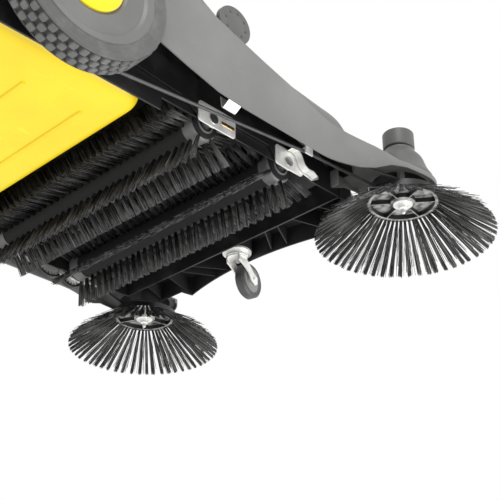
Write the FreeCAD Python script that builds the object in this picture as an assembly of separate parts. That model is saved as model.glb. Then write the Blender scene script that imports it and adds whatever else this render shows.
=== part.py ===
import FreeCAD, Part
import math
import os
from FreeCAD import Vector, Rotation, Placement

# Walk-behind sweeper with two counter-turning roller brushes and two side brushes.
# Millimetres. +Z up, -Y is the driving direction, +X the machine's left.
# The origin is on the floor, under the middle of the whole machine.

# ---- overall sizes ---------------------------------------------------------
LENGTH = 1292.0                 # front of the side brushes to the back of the push grip
HEIGHT = 1040.0                 # floor to the top of the push grip
FRONT_Y = -LENGTH / 2

# ---- side brushes ----------------------------------------------------------
SB_RADIUS = 142.0               # bristle rim
SB_X = 313.0                    # spindle axis from the middle
SB_RIM_Z = 4.0                  # bristle tips above the floor
SB_HUB_RADIUS = 60.0
SB_HUB_Z = 66.0                 # underside of the hub ring
SB_HUB_H = 10.0
SB_RING_W = 9.0
SB_RIBS = 6
SB_BRISTLE_T = 6.0
SB_LIFT = 8.0                   # upward travel of the brush
SB_BOSS_R = 20.0
SB_WASHER_R = 15.5
SB_WASHER_T = 3.0
SB_NUT_R = 7.5
SPINDLE_R = 6.0
KNOB_R = 24.0
KNOB_Z = 165.0                  # underside of the lift knob
KNOB_TOP_Z = 195.0
KNOB_GAP = 2.0                  # dark groove under the knob
KNOB_SOCKET = 12.0
BELT_PLANE_Z = 88.3             # belt round the brush pulley
BRUSH_PULLEY_R = 20.0           # belt centre line on that pulley
BELL_FOOT_R = 60.0
BELL_MID_R = 45.0
BELL_MID_Z = 119.0
BELL_HIGH_R = 34.0
BELL_HIGH_Z = 146.0
BELL_NECK_R = 25.0
BELL_T = 3.0

# ---- drive wheels ----------------------------------------------------------
AXLE_FROM_SPINDLE = 640.0       # wheel axle behind the side brush spindles
WHEEL_R = 120.4
TYRE_W = 42.0
TYRE_T = 24.0
WHEEL_X = 292.0                 # inner face of the tyre
AXLE_R = 10.0
CAP_R = 54.0
CAP_H = 6.0
SIDE_PULLEY_R = 90.0            # belt centre line
SIDE_BELT_X = 285.0
SIDE_BELT_R = 2.5
BELT_LOW_Z = 84.0               # lower belt run at the guide
BELT_HIGH_Z = 95.0              # upper belt run at the guide
GUIDE_T = 2.5
ROLLER_PULLEY_R = 64.0
ROLLER_BELT_X = 277.0
ROLLER_BELT_R = 1.8

# ---- roller brushes --------------------------------------------------------
REAR_FROM_SPINDLE = 368.0
FRONT_FROM_SPINDLE = 212.0
ROLLER_R = 69.5                 # bristle tips
ROLLER_GAP_Z = 1.0              # bristle tips above the floor
CORE_R = 22.0
ROLLER_HALF = 246.0
SHAFT_R = 8.0
SHAFT_END_X = 264.5
TUFT_ROWS = 6
ROW_T = 7.0
GEAR_R = 20.0                   # pitch radius on the roller shafts
GEAR_MODULE = 2.0
GEAR_X = 267.8
GEAR_W = 6.0
IDLER_R = 30.0
SMALL_PULLEY_R = 16.0
GEAR_BACKLASH = 0.5

# ---- chassis ---------------------------------------------------------------
WALL_X = 254.0                  # inner face of the side walls
WALL_T = 3.0
BOTTOM_Z = 64.0                 # lower edge of the chassis ahead of the container
REAR_BOTTOM_Z = 44.0            # lower edge beside the container
WALL_TOP_Z = 150.0
CROSS_FROM_SPINDLE = 90.0       # front cross wall
COVER_Z = 158.0                 # underside of the roller chamber
SHELL_T = 3.0
PANEL_X = 316.0                 # outer face of the side panels
PANEL_BOTTOM_Z = 68.0
PANEL_GAP = 4.6                 # rear edge of the side panels ahead of the tyre
EAR_R = 70.0
EAR_BOTTOM_Z = 76.0
EAR_TOP_Z = 98.0
EAR_EDGE_Z = 89.0               # lower edge of the ear's rim
FLARE_FROM_SPINDLE = 195.0      # where the panel starts to swing out to the ear
FLARE_STEPS = 12
LIP_HALF = 170.0
LIP_FROM_SPINDLE = 7.0
LIP_ARCH = 23.0
RIB_T = 2.0

# ---- container -------------------------------------------------------------
TUB_HALF = 246.0
TUB_FROM_SPINDLE = 468.0
TUB_LENGTH = 436.0
TUB_BOTTOM_Z = 52.0
TUB_TOP_Z = 322.0
TUB_WALL = 3.5
TUB_ROUND = 22.0
TUB_RIB_HALF = 166.0
COVER_HALF = 288.0              # outer half width of the cover over the container
COVER_LOW_Z = 245.0
COVER_RISE = 18.0               # cover top above the container
COVER_SHORT = 60.0              # cover's back edge ahead of the container's back
COVER_ROUND = 16.0
SCREW_R = 6.0
SCREW_H = 2.5
SCREW_INSET = 44.0
BAIL_HALF = 80.0
BAIL_Z = 290.0
BAIL_DROP = 60.0
BAIL_R = 6.5
BAIL_PIN_R = 3.0

# ---- roller height adjuster ------------------------------------------------
ADJUST_Z = 209.0
ADJUST_FROM_SPINDLE = 373.0
ADJUST_R = 5.0
DISC_R = 31.0
DISC_X = 302.0
DISC_T = 9.0
CAM_R = 9.5
CAM_OFFSET = 3.5
CAM_PLAY = 1.2
ARM_T = 3.0
PLATE_T = 2.0
PLATE_Z = 56.0                  # lower edge of the bearing plates
BEARING_R = 13.0
IDLER_PIN_R = 5.0
ARM_X = WALL_X + WALL_T + 1.5

# ---- caster ----------------------------------------------------------------
CASTER_FROM_SPINDLE = 59.5
CASTER_R = 31.0
CASTER_W = 20.0
CASTER_TRAIL = 36.0
CASTER_TURN = 12.0              # degrees the fork stands turned at rest
CASTER_PLATE_Z = 72.0

# ---- push handle -----------------------------------------------------------
HANDLE_R = 14.0
HANDLE_HALF = 307.0
GRIP_HALF = 232.0
GRIP_R = 17.0
HINGE_FROM_AXLE = 60.0
HINGE_Z = 300.0
HINGE_PIN_R = 6.0

# ---- clearances ------------------------------------------------------------
RUN = 0.05                      # radial running fit of a shaft in its bore
GAP = 0.5                       # between pieces that pass each other
SIDE = 1.0                      # sideways play beside turning pieces
GROOVE_GAP = 0.4                # round a belt in its groove
GROOVE_LIP = 1.1                # flange beside a belt groove

# ---- places worked out from the sizes above ---------------------------------
SB_Y = FRONT_Y + SB_RADIUS
AXLE_Y = SB_Y + AXLE_FROM_SPINDLE
REAR_Y = SB_Y + REAR_FROM_SPINDLE
FRONT_ROLLER_Y = SB_Y + FRONT_FROM_SPINDLE
ROLLER_Z = ROLLER_R + ROLLER_GAP_Z
CROSS_Y = SB_Y + CROSS_FROM_SPINDLE
PANEL_END_Y = AXLE_Y - WHEEL_R - PANEL_GAP
TUB_Y = SB_Y + TUB_FROM_SPINDLE
TUB_BACK_Y = TUB_Y + TUB_LENGTH
ADJUST_Y = SB_Y + ADJUST_FROM_SPINDLE
CASTER_Y = SB_Y + CASTER_FROM_SPINDLE
HINGE_Y = AXLE_Y - HINGE_FROM_AXLE
GRIP_Y = LENGTH / 2 - GRIP_R
GRIP_Z = HEIGHT - GRIP_R
LIP_Y = SB_Y + LIP_FROM_SPINDLE
GUIDE_Y = FRONT_ROLLER_Y - 12
WHEEL_Z = WHEEL_R

X_AXIS = Vector(1, 0, 0)
Y_AXIS = Vector(0, 1, 0)
Z_AXIS = Vector(0, 0, 1)
ORIGIN = Vector(0, 0, 0)


# ---- small helpers ---------------------------------------------------------
def box(x0, x1, y0, y1, z0, z1):
    """Block between two corners."""
    return Part.makeBox(x1 - x0, y1 - y0, z1 - z0, Vector(x0, y0, z0))


def cyl_x(x0, x1, y, z, r):
    """Round bar along X."""
    return Part.makeCylinder(r, x1 - x0, Vector(x0, y, z), X_AXIS)


def cyl_z(z0, z1, x, y, r):
    """Round bar along Z."""
    return Part.makeCylinder(r, z1 - z0, Vector(x, y, z0), Z_AXIS)


def bar(a, b, r):
    """Round bar between two points."""
    return Part.makeCylinder(r, (b - a).Length, a, b - a)


def plate_x(points, x0, x1):
    """Flat piece cut to a (y, z) outline, standing between x0 and x1."""
    wire = Part.makePolygon([Vector(x0, y, z) for y, z in points + points[:1]])
    return Part.Face(wire).extrude(Vector(x1 - x0, 0, 0))


def plate_z(points, z0, z1):
    """Flat piece cut to an (x, y) outline, lying between z0 and z1."""
    wire = Part.makePolygon([Vector(x, y, z0) for x, y in points + points[:1]])
    return Part.Face(wire).extrude(Vector(0, 0, z1 - z0))


def turned(points, x, y):
    """Solid of revolution about a vertical axis from an (r, z) outline."""
    wire = Part.makePolygon([Vector(x + r, y, z) for r, z in points + points[:1]])
    return Part.Face(wire).revolve(Vector(x, y, 0), Z_AXIS, 360)


def turned_x(points, y, z):
    """Solid of revolution about an axis along X from an (x, r) outline."""
    wire = Part.makePolygon([Vector(x, y, z + r) for x, r in points + points[:1]])
    return Part.Face(wire).revolve(Vector(0, y, z), X_AXIS, 360)


def fuse(shapes):
    """One solid from touching pieces."""
    return shapes[0].multiFuse(shapes[1:]).removeSplitter()


def mirror(shape):
    """The same piece on the other side of the machine."""
    return shape.mirror(ORIGIN, X_AXIS)


def group(shapes):
    """Separate solids kept as one node."""
    return Part.makeCompound(shapes)


def rounded(shape, radius, test):
    """Round the edges that the test picks."""
    edges = [e for e in shape.Edges if test(e)]
    return shape.makeFillet(radius, edges) if edges else shape


def is_along(edge, axis):
    """True for a straight edge along the given axis."""
    if not isinstance(edge.Curve, Part.Line):
        return False
    return abs(abs(edge.Curve.Direction.dot(axis)) - 1) < 1e-6


def height_on(points, y):
    """Height at y on a line through (y, z) points."""
    for (y0, z0), (y1, z1) in zip(points, points[1:]):
        if y0 <= y <= y1:
            return z0 + (z1 - z0) * (y - y0) / (y1 - y0)
    return points[0][1] if y < points[0][0] else points[-1][1]


def bent_bar(corners, radii, r, closed=False):
    """Round bar of radius r along straight runs joined by tangent arcs."""
    n = len(corners)
    stops = []
    for i in range(n):
        p = corners[i]
        if not closed and i in (0, n - 1):
            stops.append((p, None, p))
            continue
        a = (corners[i - 1] - p).normalize()
        b = (corners[(i + 1) % n] - p).normalize()
        half = math.acos(max(-1.0, min(1.0, a.dot(b)))) / 2
        reach = radii[i] / math.tan(half)
        inward = (a + b).normalize()
        middle = p + inward * (radii[i] / math.sin(half) - radii[i])
        stops.append((p + a * reach, middle, p + b * reach))
    edges = []
    for i in range(n):
        enter, middle, leave = stops[i]
        if middle is not None:
            edges.append(Part.Arc(enter, middle, leave).toShape())
        following = stops[(i + 1) % n][0]
        if (closed or i < n - 1) and (following - leave).Length > 0.01:
            edges.append(Part.LineSegment(leave, following).toShape())
    pieces = []
    for edge in edges:
        start = edge.valueAt(edge.FirstParameter)
        direction = edge.tangentAt(edge.FirstParameter)
        disc = Part.Wire(Part.makeCircle(r, start, direction))
        pieces.append(Part.Wire(edge).makePipe(Part.Face(disc)))
    return fuse(pieces)


# ---- outlines shared by neighbouring pieces ----------------------------------
def shoulder_line():
    """Height of the edge where the side panels meet the hood, front to back."""
    return [(CROSS_Y + 14, 112), (CROSS_Y + 77, 130), (CROSS_Y + 154, 152),
            (CROSS_Y + 228, 169), (CROSS_Y + 313, 191), (PANEL_END_Y, 228)]


def hood_sections():
    """Cross sections of the hood: y, foot height, half width, shoulder, flank, crown."""
    rows = [(SB_Y + 30, EAR_TOP_Z + 3, 250, 104, 110, 114),
            (SB_Y + 54, EAR_TOP_Z + 3, 262, 112, 150, 185),
            (SB_Y + 124, EAR_TOP_Z + 6, 308, 119, 176, 225),
            (SB_Y + 204, 120, 313, 138, 196, 250),
            (ADJUST_Y, 165, 313, 183, 243, 292),
            (PANEL_END_Y, 212, 313, 228, 290, 338)]
    return rows


def hood_solid(inset):
    """Smooth body through the sections, drawn in by the wall thickness."""
    wires = []
    for y, foot, half, shoulder, flank, crown in hood_sections():
        w = half - inset
        top = crown - inset
        flank_x = 0.83 * half - inset
        flank_z = flank - 1.2 * inset
        low = foot - (inset and 20)
        side = [(w, shoulder - 0.4 * inset), (flank_x, flank_z), (0.45 * half, (flank_z + 2 * top) / 3 + 4),
                (0, top), (-0.45 * half, (flank_z + 2 * top) / 3 + 4), (-flank_x, flank_z),
                (-w, shoulder - 0.4 * inset)]
        curve = Part.BSplineCurve()
        curve.interpolate([Vector(x, y, z) for x, z in side])
        left = Part.LineSegment(Vector(w, y, low), Vector(w, y, side[0][1])).toShape()
        right = Part.LineSegment(Vector(-w, y, side[-1][1]), Vector(-w, y, low)).toShape()
        foot_edge = Part.LineSegment(Vector(-w, y, low), Vector(w, y, low)).toShape()
        wires.append(Part.Wire([left, curve.toShape(), right, foot_edge]))
    return Part.makeLoft(wires, True, True)


def hood_footprint():
    """Room the hood takes above its foot on the left side, as an upright block."""
    edge = [(half, y) for y, foot, half, shoulder, flank, crown in hood_sections()]
    return plate_z(edge + [(0, edge[-1][1]), (0, edge[0][1])], EAR_TOP_Z + SHELL_T, HINGE_Z)


# ---- chassis ---------------------------------------------------------------
def side_wall():
    """Left chassis wall with notches for the roller shafts and holes for axle and adjuster."""
    y0 = CROSS_Y
    step = TUB_Y - 8
    back = TUB_BACK_Y - COVER_SHORT
    low = [(y0, BOTTOM_Z), (step, BOTTOM_Z), (step, REAR_BOTTOM_Z), (back, REAR_BOTTOM_Z)]
    high = [(back, TUB_TOP_Z), (PANEL_END_Y + 2, TUB_TOP_Z), (PANEL_END_Y + 2, TUB_TOP_Z - 46),
            (ADJUST_Y + 20, ADJUST_Z + 12), (ADJUST_Y - 16, ADJUST_Z + 12), (ADJUST_Y - 60, WALL_TOP_Z + 20),
            (y0, EAR_TOP_Z)]
    wall = plate_x(low + high, WALL_X, WALL_X + WALL_T)
    for y in (REAR_Y, FRONT_ROLLER_Y):
        top = ROLLER_Z + SHAFT_R + 26
        notch = box(WALL_X - 1, WALL_X + WALL_T + 1, y - SHAFT_R - 8, y + SHAFT_R + 8, 0, top)
        wall = wall.cut(notch)
    wall = wall.cut(cyl_x(WALL_X - 1, WALL_X + WALL_T + 1, ADJUST_Y, ADJUST_Z, ADJUST_R + RUN))
    return wall


def chamber_cover():
    """Bent sheet over the two rollers, closed in front by the cross wall."""
    t = SHELL_T
    back = TUB_Y - 16
    outer = [(CROSS_Y, BOTTOM_Z), (CROSS_Y + 8, EAR_TOP_Z), (FRONT_ROLLER_Y - 40, COVER_Z),
             (back, COVER_Z), (back, COVER_Z + t), (FRONT_ROLLER_Y - 42, COVER_Z + t),
             (CROSS_Y + 8 - t, EAR_TOP_Z + 1), (CROSS_Y - t, BOTTOM_Z)]
    return plate_x(outer, -WALL_X, WALL_X)


def lip_outline(inset):
    """Plan outline of the front panel: the hollow front lip between two straight ends."""
    y = LIP_Y + inset
    ends = SB_Y + 30 + inset
    outer = WALL_X + WALL_T - GAP - inset
    back = CROSS_Y - SHELL_T
    arc = Part.Arc(Vector(-LIP_HALF + inset, y, 0), Vector(0, y + LIP_ARCH, 0),
                   Vector(LIP_HALF - inset, y, 0)).toShape()
    points = [(LIP_HALF - inset, y), (LIP_HALF + 4 - inset, ends), (outer, ends), (outer, back),
              (-outer, back), (-outer, ends), (-LIP_HALF - 4 + inset, ends), (-LIP_HALF + inset, y)]
    corners = [Vector(px, py, 0) for px, py in points]
    lines = [Part.LineSegment(a, b).toShape() for a, b in zip(corners, corners[1:])]
    return Part.Wire([arc] + lines)


def front_panel():
    """Open-bottomed front box with thin stiffening ribs and the caster's seat."""
    height = EAR_TOP_Z - BOTTOM_Z
    outer = Part.Face(lip_outline(0)).extrude(Vector(0, 0, height + SHELL_T))
    inner = Part.Face(lip_outline(SHELL_T)).extrude(Vector(0, 0, height))
    outer.translate(Vector(0, 0, BOTTOM_Z))
    inner.translate(Vector(0, 0, BOTTOM_Z))
    slope = (SB_RADIUS - SB_HUB_RADIUS) / (SB_HUB_Z - SB_RIM_Z)
    clear = SB_HUB_RADIUS + slope * (SB_HUB_Z + SB_BRISTLE_T + SB_LIFT - BOTTOM_Z) + SIDE
    for side in (-1, 1):
        outer = outer.cut(cyl_z(0, HEIGHT, side * SB_X, SB_Y, clear))
        inner = inner.cut(cyl_z(0, HEIGHT, side * SB_X, SB_Y, clear + SHELL_T))
    shell = outer.cut(inner)
    ribs = []
    for side in (-1, 1):
        for x0, x1 in ((92, 40), (120, 78), (150, 172), (206, 236)):
            start = Vector(side * x0, CROSS_Y - SHELL_T, BOTTOM_Z + 4)
            end = Vector(side * x1, LIP_Y + 2, BOTTOM_Z + 4)
            ribs.append(web(start, end, RIB_T, height - 4))
    seat = cyl_z(CASTER_PLATE_Z, EAR_TOP_Z, 0, CASTER_Y, 26)
    ribs = [rib.common(outer) for rib in ribs]
    return fuse([shell] + ribs + [seat])


def web(start, end, thickness, height):
    """Upright strip between two points."""
    run = end - start
    across = Vector(-run.y, run.x, 0).normalize() * (thickness / 2)
    corners = [start + across, end + across, end - across, start - across, start + across]
    return Part.Face(Part.makePolygon(corners)).extrude(Vector(0, 0, height))


def panel_outline():
    """Side view of the side panel: low edge with the wheel end swept up, high edge on the shoulder."""
    end = PANEL_END_Y
    front = CROSS_Y + 20
    low = [(front, EAR_BOTTOM_Z), (front + 32, PANEL_BOTTOM_Z), (end - 158, PANEL_BOTTOM_Z),
           (end - 108, PANEL_BOTTOM_Z + 3), (end - 52, PANEL_BOTTOM_Z + 15), (end, PANEL_BOTTOM_Z + 28)]
    high = [(y, z) for y, z in reversed(shoulder_line()) if y > front]
    return low + high + [(front, EAR_TOP_Z + 6)]


def flare_x(y):
    """Outer face of the side panel at y: straight behind, swung out to the ear in front."""
    share = min(1.0, max(0.0, 1 - (y - SB_Y) / FLARE_FROM_SPINDLE))
    return PANEL_X + (SB_X + EAR_R - PANEL_X) * (1 - math.cos(math.pi * share)) / 2


def ear_plan(inset):
    """Plan of the flared ear, before the round front end is added."""
    step = FLARE_FROM_SPINDLE / FLARE_STEPS
    curve = [(flare_x(SB_Y + i * step) - inset, SB_Y + i * step) for i in range(FLARE_STEPS + 1)]
    back = CROSS_Y + 20 - inset
    inner = WALL_X + WALL_T + inset
    x_open = SIDE_BELT_X - 12 if inset else PANEL_X - SHELL_T
    return curve + [(x_open, curve[-1][1]), (x_open, back), (inner, back), (inner, SB_Y)]


def ear_profile(drop, floor):
    """Side view of the ear: roof on the shoulder line, lower edge arched up to a narrow rim."""
    start = SB_Y - EAR_R - 1
    roof = [(start, EAR_TOP_Z), (SB_Y + BELL_FOOT_R + 4, EAR_TOP_Z)]
    roof += [(y, z) for y, z in shoulder_line() if y < SB_Y + FLARE_FROM_SPINDLE]
    end = SB_Y + FLARE_FROM_SPINDLE + 1
    roof += [(end, height_on(shoulder_line(), end))]
    low = [(end, PANEL_BOTTOM_Z), (SB_Y + 128, PANEL_BOTTOM_Z), (SB_Y + 104, PANEL_BOTTOM_Z + 5),
           (SB_Y + 78, EAR_EDGE_Z - 4), (SB_Y + 50, EAR_EDGE_Z), (start, EAR_EDGE_Z)]
    if floor:
        low = [(end, floor), (start, floor)]
    return [(y, z - drop) for y, z in roof] + low


def side_panel():
    """Left side panel: the long skirt flaring into the hollow ear that carries the brush housing."""
    skirt = plate_x(panel_outline(), PANEL_X - SHELL_T, PANEL_X)
    high = HINGE_Z
    block = plate_z(ear_plan(0), EAR_BOTTOM_Z - 20, high)
    block = block.fuse(cyl_z(EAR_BOTTOM_Z - 20, high, SB_X, SB_Y, EAR_R))
    block = block.common(plate_x(ear_profile(0, 0), WALL_X, SB_X + EAR_R + 1))
    hollow = plate_z(ear_plan(SHELL_T), 1, high)
    hollow = hollow.fuse(cyl_z(1, high, SB_X, SB_Y, EAR_R - SHELL_T))
    hollow = hollow.common(plate_x(ear_profile(SHELL_T, 2), WALL_X, SB_X + EAR_R + 1))
    opening = cyl_z(EAR_BOTTOM_Z, EAR_TOP_Z + 1, SB_X, SB_Y, BELL_FOOT_R - BELL_T - 4)
    ear = block.cut(hollow).cut(opening).cut(hood_footprint())
    skirt = skirt.cut(box(PANEL_X - SHELL_T - 1, PANEL_X + 1, CROSS_Y, SB_Y + FLARE_FROM_SPINDLE, 0, high))
    return fuse([skirt, ear])


def knob_pocket(radius, x0, x1):
    """Round space around the adjuster's knob on the right flank of the hood."""
    return cyl_x(-x1, -x0, ADJUST_Y, ADJUST_Z, radius)


def hood():
    """Domed hood: thin shell with a round pocket for the adjuster knob."""
    outer = hood_solid(0)
    shell = outer.cut(hood_solid(SHELL_T))
    pocket_r = DISC_R + 4
    cup = knob_pocket(pocket_r + SHELL_T, DISC_X - 8, PANEL_X)
    cup = cup.common(outer)
    shell = shell.fuse(cup).cut(knob_pocket(pocket_r, DISC_X - 5, PANEL_X + 20))
    return shell.cut(knob_pocket(ADJUST_R + GAP, 0, PANEL_X))


def rear_cover():
    """Cover over the container's front half, open at the back and below."""
    y0 = PANEL_END_Y
    y1 = TUB_BACK_Y - COVER_SHORT
    top = TUB_TOP_Z + COVER_RISE
    half = COVER_HALF
    inner_top = top - SHELL_T
    outer = box(-half, half, y0, y1, COVER_LOW_Z, top)
    outer = rounded(outer, COVER_ROUND, lambda e: is_along(e, Y_AXIS) and e.CenterOfMass.z > top - 1)
    inner = box(-half + SHELL_T, half - SHELL_T, y0 - 1, y1 + 1, COVER_LOW_Z - 1, inner_top)
    inner = rounded(inner, COVER_ROUND - SHELL_T,
                    lambda e: is_along(e, Y_AXIS) and e.CenterOfMass.z > inner_top - 1)
    return outer.cut(inner)


def brush_housing():
    """Bell over a side brush spindle, with a slot for the belt and a bearing bore."""
    t = BELL_T
    top = KNOB_Z - KNOB_GAP
    bore = SPINDLE_R + RUN
    outline = [(BELL_FOOT_R, EAR_TOP_Z), (BELL_MID_R, BELL_MID_Z), (BELL_HIGH_R, BELL_HIGH_Z),
               (BELL_NECK_R, top - 6), (BELL_NECK_R, top), (bore, top), (bore, EAR_TOP_Z + 4),
               (bore + 6, EAR_TOP_Z + 4), (bore + 6, top - 9), (BELL_NECK_R - t, top - 9),
               (BELL_HIGH_R - t, BELL_HIGH_Z - 2), (BELL_MID_R - t, BELL_MID_Z - 1), (BELL_FOOT_R - t, EAR_TOP_Z)]
    return turned(outline, SB_X, SB_Y)


def side_belt():
    """Round belt from the left wheel to the left side brush, over two guide hooks."""
    r = BRUSH_PULLEY_R
    x = SIDE_BELT_X
    behind = AXLE_Y + SIDE_PULLEY_R
    guide_low = Vector(x, GUIDE_Y, BELT_LOW_Z)
    guide_high = Vector(x, GUIDE_Y, BELT_HIGH_Z)
    wheel = Vector(x, AXLE_Y, WHEEL_Z)
    low_corner = tangent_corner(guide_low, wheel, SIDE_PULLEY_R, behind, -1)
    high_corner = tangent_corner(guide_high, wheel, SIDE_PULLEY_R, behind, 1)
    corners = [low_corner, high_corner, guide_high, Vector(SB_X + r, SB_Y + 26, BELT_PLANE_Z),
               Vector(SB_X + r, SB_Y - r, BELT_PLANE_Z), Vector(SB_X - r, SB_Y - r, BELT_PLANE_Z),
               Vector(SB_X - r, SB_Y + 26, BELT_PLANE_Z), guide_low]
    radii = [SIDE_PULLEY_R, SIDE_PULLEY_R, 20, 20, r, r, 20, 20]
    return bent_bar(corners, radii, SIDE_BELT_R, closed=True)


def tangent_corner(point, centre, radius, y_back, sign):
    """Where the tangent from a point to a pulley meets the upright line behind the pulley."""
    dy = point.y - centre.y
    dz = point.z - centre.z
    distance = math.hypot(dy, dz)
    towards = math.atan2(-dz, -dy)
    lean = math.asin(radius / distance)
    angle = towards + sign * lean
    return Vector(centre.x, y_back, point.z + math.tan(angle) * (y_back - point.y))


def roller_belt():
    """Round belt from the left wheel to the rear roller."""
    x = ROLLER_BELT_X
    wheel = Vector(x, AXLE_Y, WHEEL_Z)
    roller = Vector(x, REAR_Y, ROLLER_Z)
    run = wheel - roller
    spread = math.asin((ROLLER_PULLEY_R - SMALL_PULLEY_R) / run.Length)
    heading = math.atan2(run.z, run.y)
    corners = []
    radii = []
    for centre, radius, away in ((wheel, ROLLER_PULLEY_R, 1), (roller, SMALL_PULLEY_R, -1)):
        for sign in ((-1, 1) if away > 0 else (1, -1)):
            angle = heading + sign * spread
            normal = Vector(0, -math.sin(angle), math.cos(angle)) * (sign * radius)
            along = Vector(0, math.cos(angle), math.sin(angle)) * away
            back = Vector(0, math.cos(heading), math.sin(heading)) * away
            foot = centre + normal
            reach = (radius - normal.dot(back)) / along.dot(back)
            corners.append(foot + along * reach)
            radii.append(radius)
    return bent_bar(corners, radii, ROLLER_BELT_R, closed=True)


def belt_guide():
    """Bent strip on the inside of the left panel, with a pin between the two belt runs."""
    y = GUIDE_Y
    face = PANEL_X - SHELL_T
    middle = (BELT_LOW_Z + BELT_HIGH_Z) / 2
    post_x = SIDE_BELT_X + SIDE_BELT_R + 4
    foot = box(face - GUIDE_T, face, y - 12, y + 14, middle - 6, middle + 6)
    arm = box(post_x, face, y - 8, y + 8, middle - GUIDE_T / 2, middle + GUIDE_T / 2)
    post = box(post_x, post_x + GUIDE_T, y - 8, y + 8, BELT_LOW_Z - 9, BELT_HIGH_Z + 9)
    pin_r = (BELT_HIGH_Z - BELT_LOW_Z) / 2 - SIDE_BELT_R - GAP
    pin = cyl_x(SIDE_BELT_X - 8, post_x, y, middle, pin_r)
    return fuse([foot, arm, post, pin])


def cover_screws():
    """Round-headed screws along the lower edge of the container's cover."""
    heads = []
    for y in (PANEL_END_Y + SCREW_INSET / 2, AXLE_Y + SCREW_INSET, TUB_BACK_Y - COVER_SHORT - SCREW_INSET / 2):
        head = cyl_x(COVER_HALF, COVER_HALF + SCREW_H, y, COVER_LOW_Z + SCREW_INSET / 2, SCREW_R)
        heads += [head, mirror(head)]
    return group(heads)


# ---- wheels ----------------------------------------------------------------
def tyre():
    """Left tyre with rounded shoulders."""
    x0 = WHEEL_X
    x1 = WHEEL_X + TYRE_W
    s = 4.0
    outline = [(x0, WHEEL_R - TYRE_T), (x0, WHEEL_R - s), (x0 + s, WHEEL_R), (x1 - s, WHEEL_R),
               (x1, WHEEL_R - s), (x1, WHEEL_R - TYRE_T)]
    return turned_x(outline, AXLE_Y, WHEEL_Z)


def groove_pulley(x, centre_r, hub_r, belt_r):
    """Outline of a grooved rim whose belt centre line runs at centre_r."""
    groove = belt_r + GROOVE_GAP
    rim = groove + GROOVE_LIP
    floor = centre_r - groove
    return [(x - rim, hub_r), (x - rim, centre_r + belt_r), (x - groove, centre_r + belt_r), (x - groove, floor),
            (x + groove, floor), (x + groove, centre_r + belt_r), (x + rim, centre_r + belt_r), (x + rim, hub_r)]


def wheel_disc(driving):
    """Moulded left wheel body with its belt pulley, bored for the axle."""
    x0 = WHEEL_X
    x1 = WHEEL_X + TYRE_W
    rim = WHEEL_R - TYRE_T
    outline = [(x0, AXLE_R + RUN), (x0, rim), (x1, rim), (x1 - 1, rim - 10), (x1 - 4, rim - 14),
               (x1 - 4, CAP_R + 2), (x1 - 8, CAP_R - 2), (x1 - 8, AXLE_R + RUN)]
    body = turned_x(outline, AXLE_Y, WHEEL_Z)
    pulley = turned_x(groove_pulley(SIDE_BELT_X, SIDE_PULLEY_R, AXLE_R + RUN, SIDE_BELT_R), AXLE_Y, WHEEL_Z)
    link = turned_x([(SIDE_BELT_X + 1, AXLE_R + RUN), (SIDE_BELT_X + 1, 60), (x0 + 1, 60), (x0 + 1, AXLE_R + RUN)],
                    AXLE_Y, WHEEL_Z)
    parts = [body, pulley, link]
    if driving:
        outline = groove_pulley(ROLLER_BELT_X, ROLLER_PULLEY_R, AXLE_R + RUN, ROLLER_BELT_R)
        parts.append(turned_x(outline, AXLE_Y, WHEEL_Z))
        parts.append(turned_x([(ROLLER_BELT_X, AXLE_R + RUN), (ROLLER_BELT_X, 40), (SIDE_BELT_X, 40),
                               (SIDE_BELT_X, AXLE_R + RUN)], AXLE_Y, WHEEL_Z))
    return fuse(parts)


def hub_cap():
    """Yellow cap on the left wheel."""
    x0 = WHEEL_X + TYRE_W - 8
    outline = [(x0, 0), (x0, CAP_R - 4), (x0 + 3, CAP_R - 4), (x0 + CAP_H, CAP_R - 12), (x0 + CAP_H + 2, 0)]
    return turned_x(outline, AXLE_Y, WHEEL_Z)


def wheel_axle():
    """Stub axle with its flange on the left wall."""
    flange = cyl_x(WALL_X + WALL_T, WALL_X + WALL_T + 1.0, AXLE_Y, WHEEL_Z, 30)
    pin = cyl_x(WALL_X + WALL_T, WHEEL_X + TYRE_W - 10, AXLE_Y, WHEEL_Z, AXLE_R)
    return fuse([flange, pin])


# ---- rollers ---------------------------------------------------------------
def roller_core(y):
    """Ribbed tube that carries the bristle rows."""
    tube = cyl_x(-ROLLER_HALF, ROLLER_HALF, y, ROLLER_Z, CORE_R)
    return tube.cut(cyl_x(-ROLLER_HALF, ROLLER_HALF, y, ROLLER_Z, SHAFT_R))


def roller_bristles(y, turn):
    """Straight rows of bristles around the core."""
    rows = []
    for i in range(TUFT_ROWS):
        row = box(-ROLLER_HALF, ROLLER_HALF, -ROW_T / 2, ROW_T / 2, 0, ROLLER_R - 0.5)
        row.rotate(ORIGIN, X_AXIS, turn + 360.0 * i / TUFT_ROWS)
        row.translate(Vector(0, y, ROLLER_Z))
        rows.append(row)
    core = cyl_x(-ROLLER_HALF, ROLLER_HALF, y, ROLLER_Z, CORE_R)
    return group([row.cut(core) for row in rows])


def roller_shaft(y, end):
    """Shaft through the core, carried in a bearing at each end."""
    return cyl_x(-SHAFT_END_X, end, y, ROLLER_Z, SHAFT_R)


def spur_gear(radius, y, z, start):
    """Spur gear with straight-flanked teeth on a pitch radius."""
    teeth = round(2 * radius / GEAR_MODULE)
    root = radius - 1.25 * GEAR_MODULE
    tip = radius + GEAR_MODULE - 0.1
    pitch = 360.0 / teeth
    points = []
    for i in range(teeth):
        middle = start + i * pitch
        for r, share in ((root, -0.36), (tip, -0.13), (tip, 0.13), (root, 0.36)):
            a = math.radians(middle + share * (pitch - math.degrees(GEAR_BACKLASH / radius)))
            points.append((y + r * math.cos(a), z + r * math.sin(a)))
    return plate_x(points, GEAR_X - GEAR_W / 2, GEAR_X + GEAR_W / 2)


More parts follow.
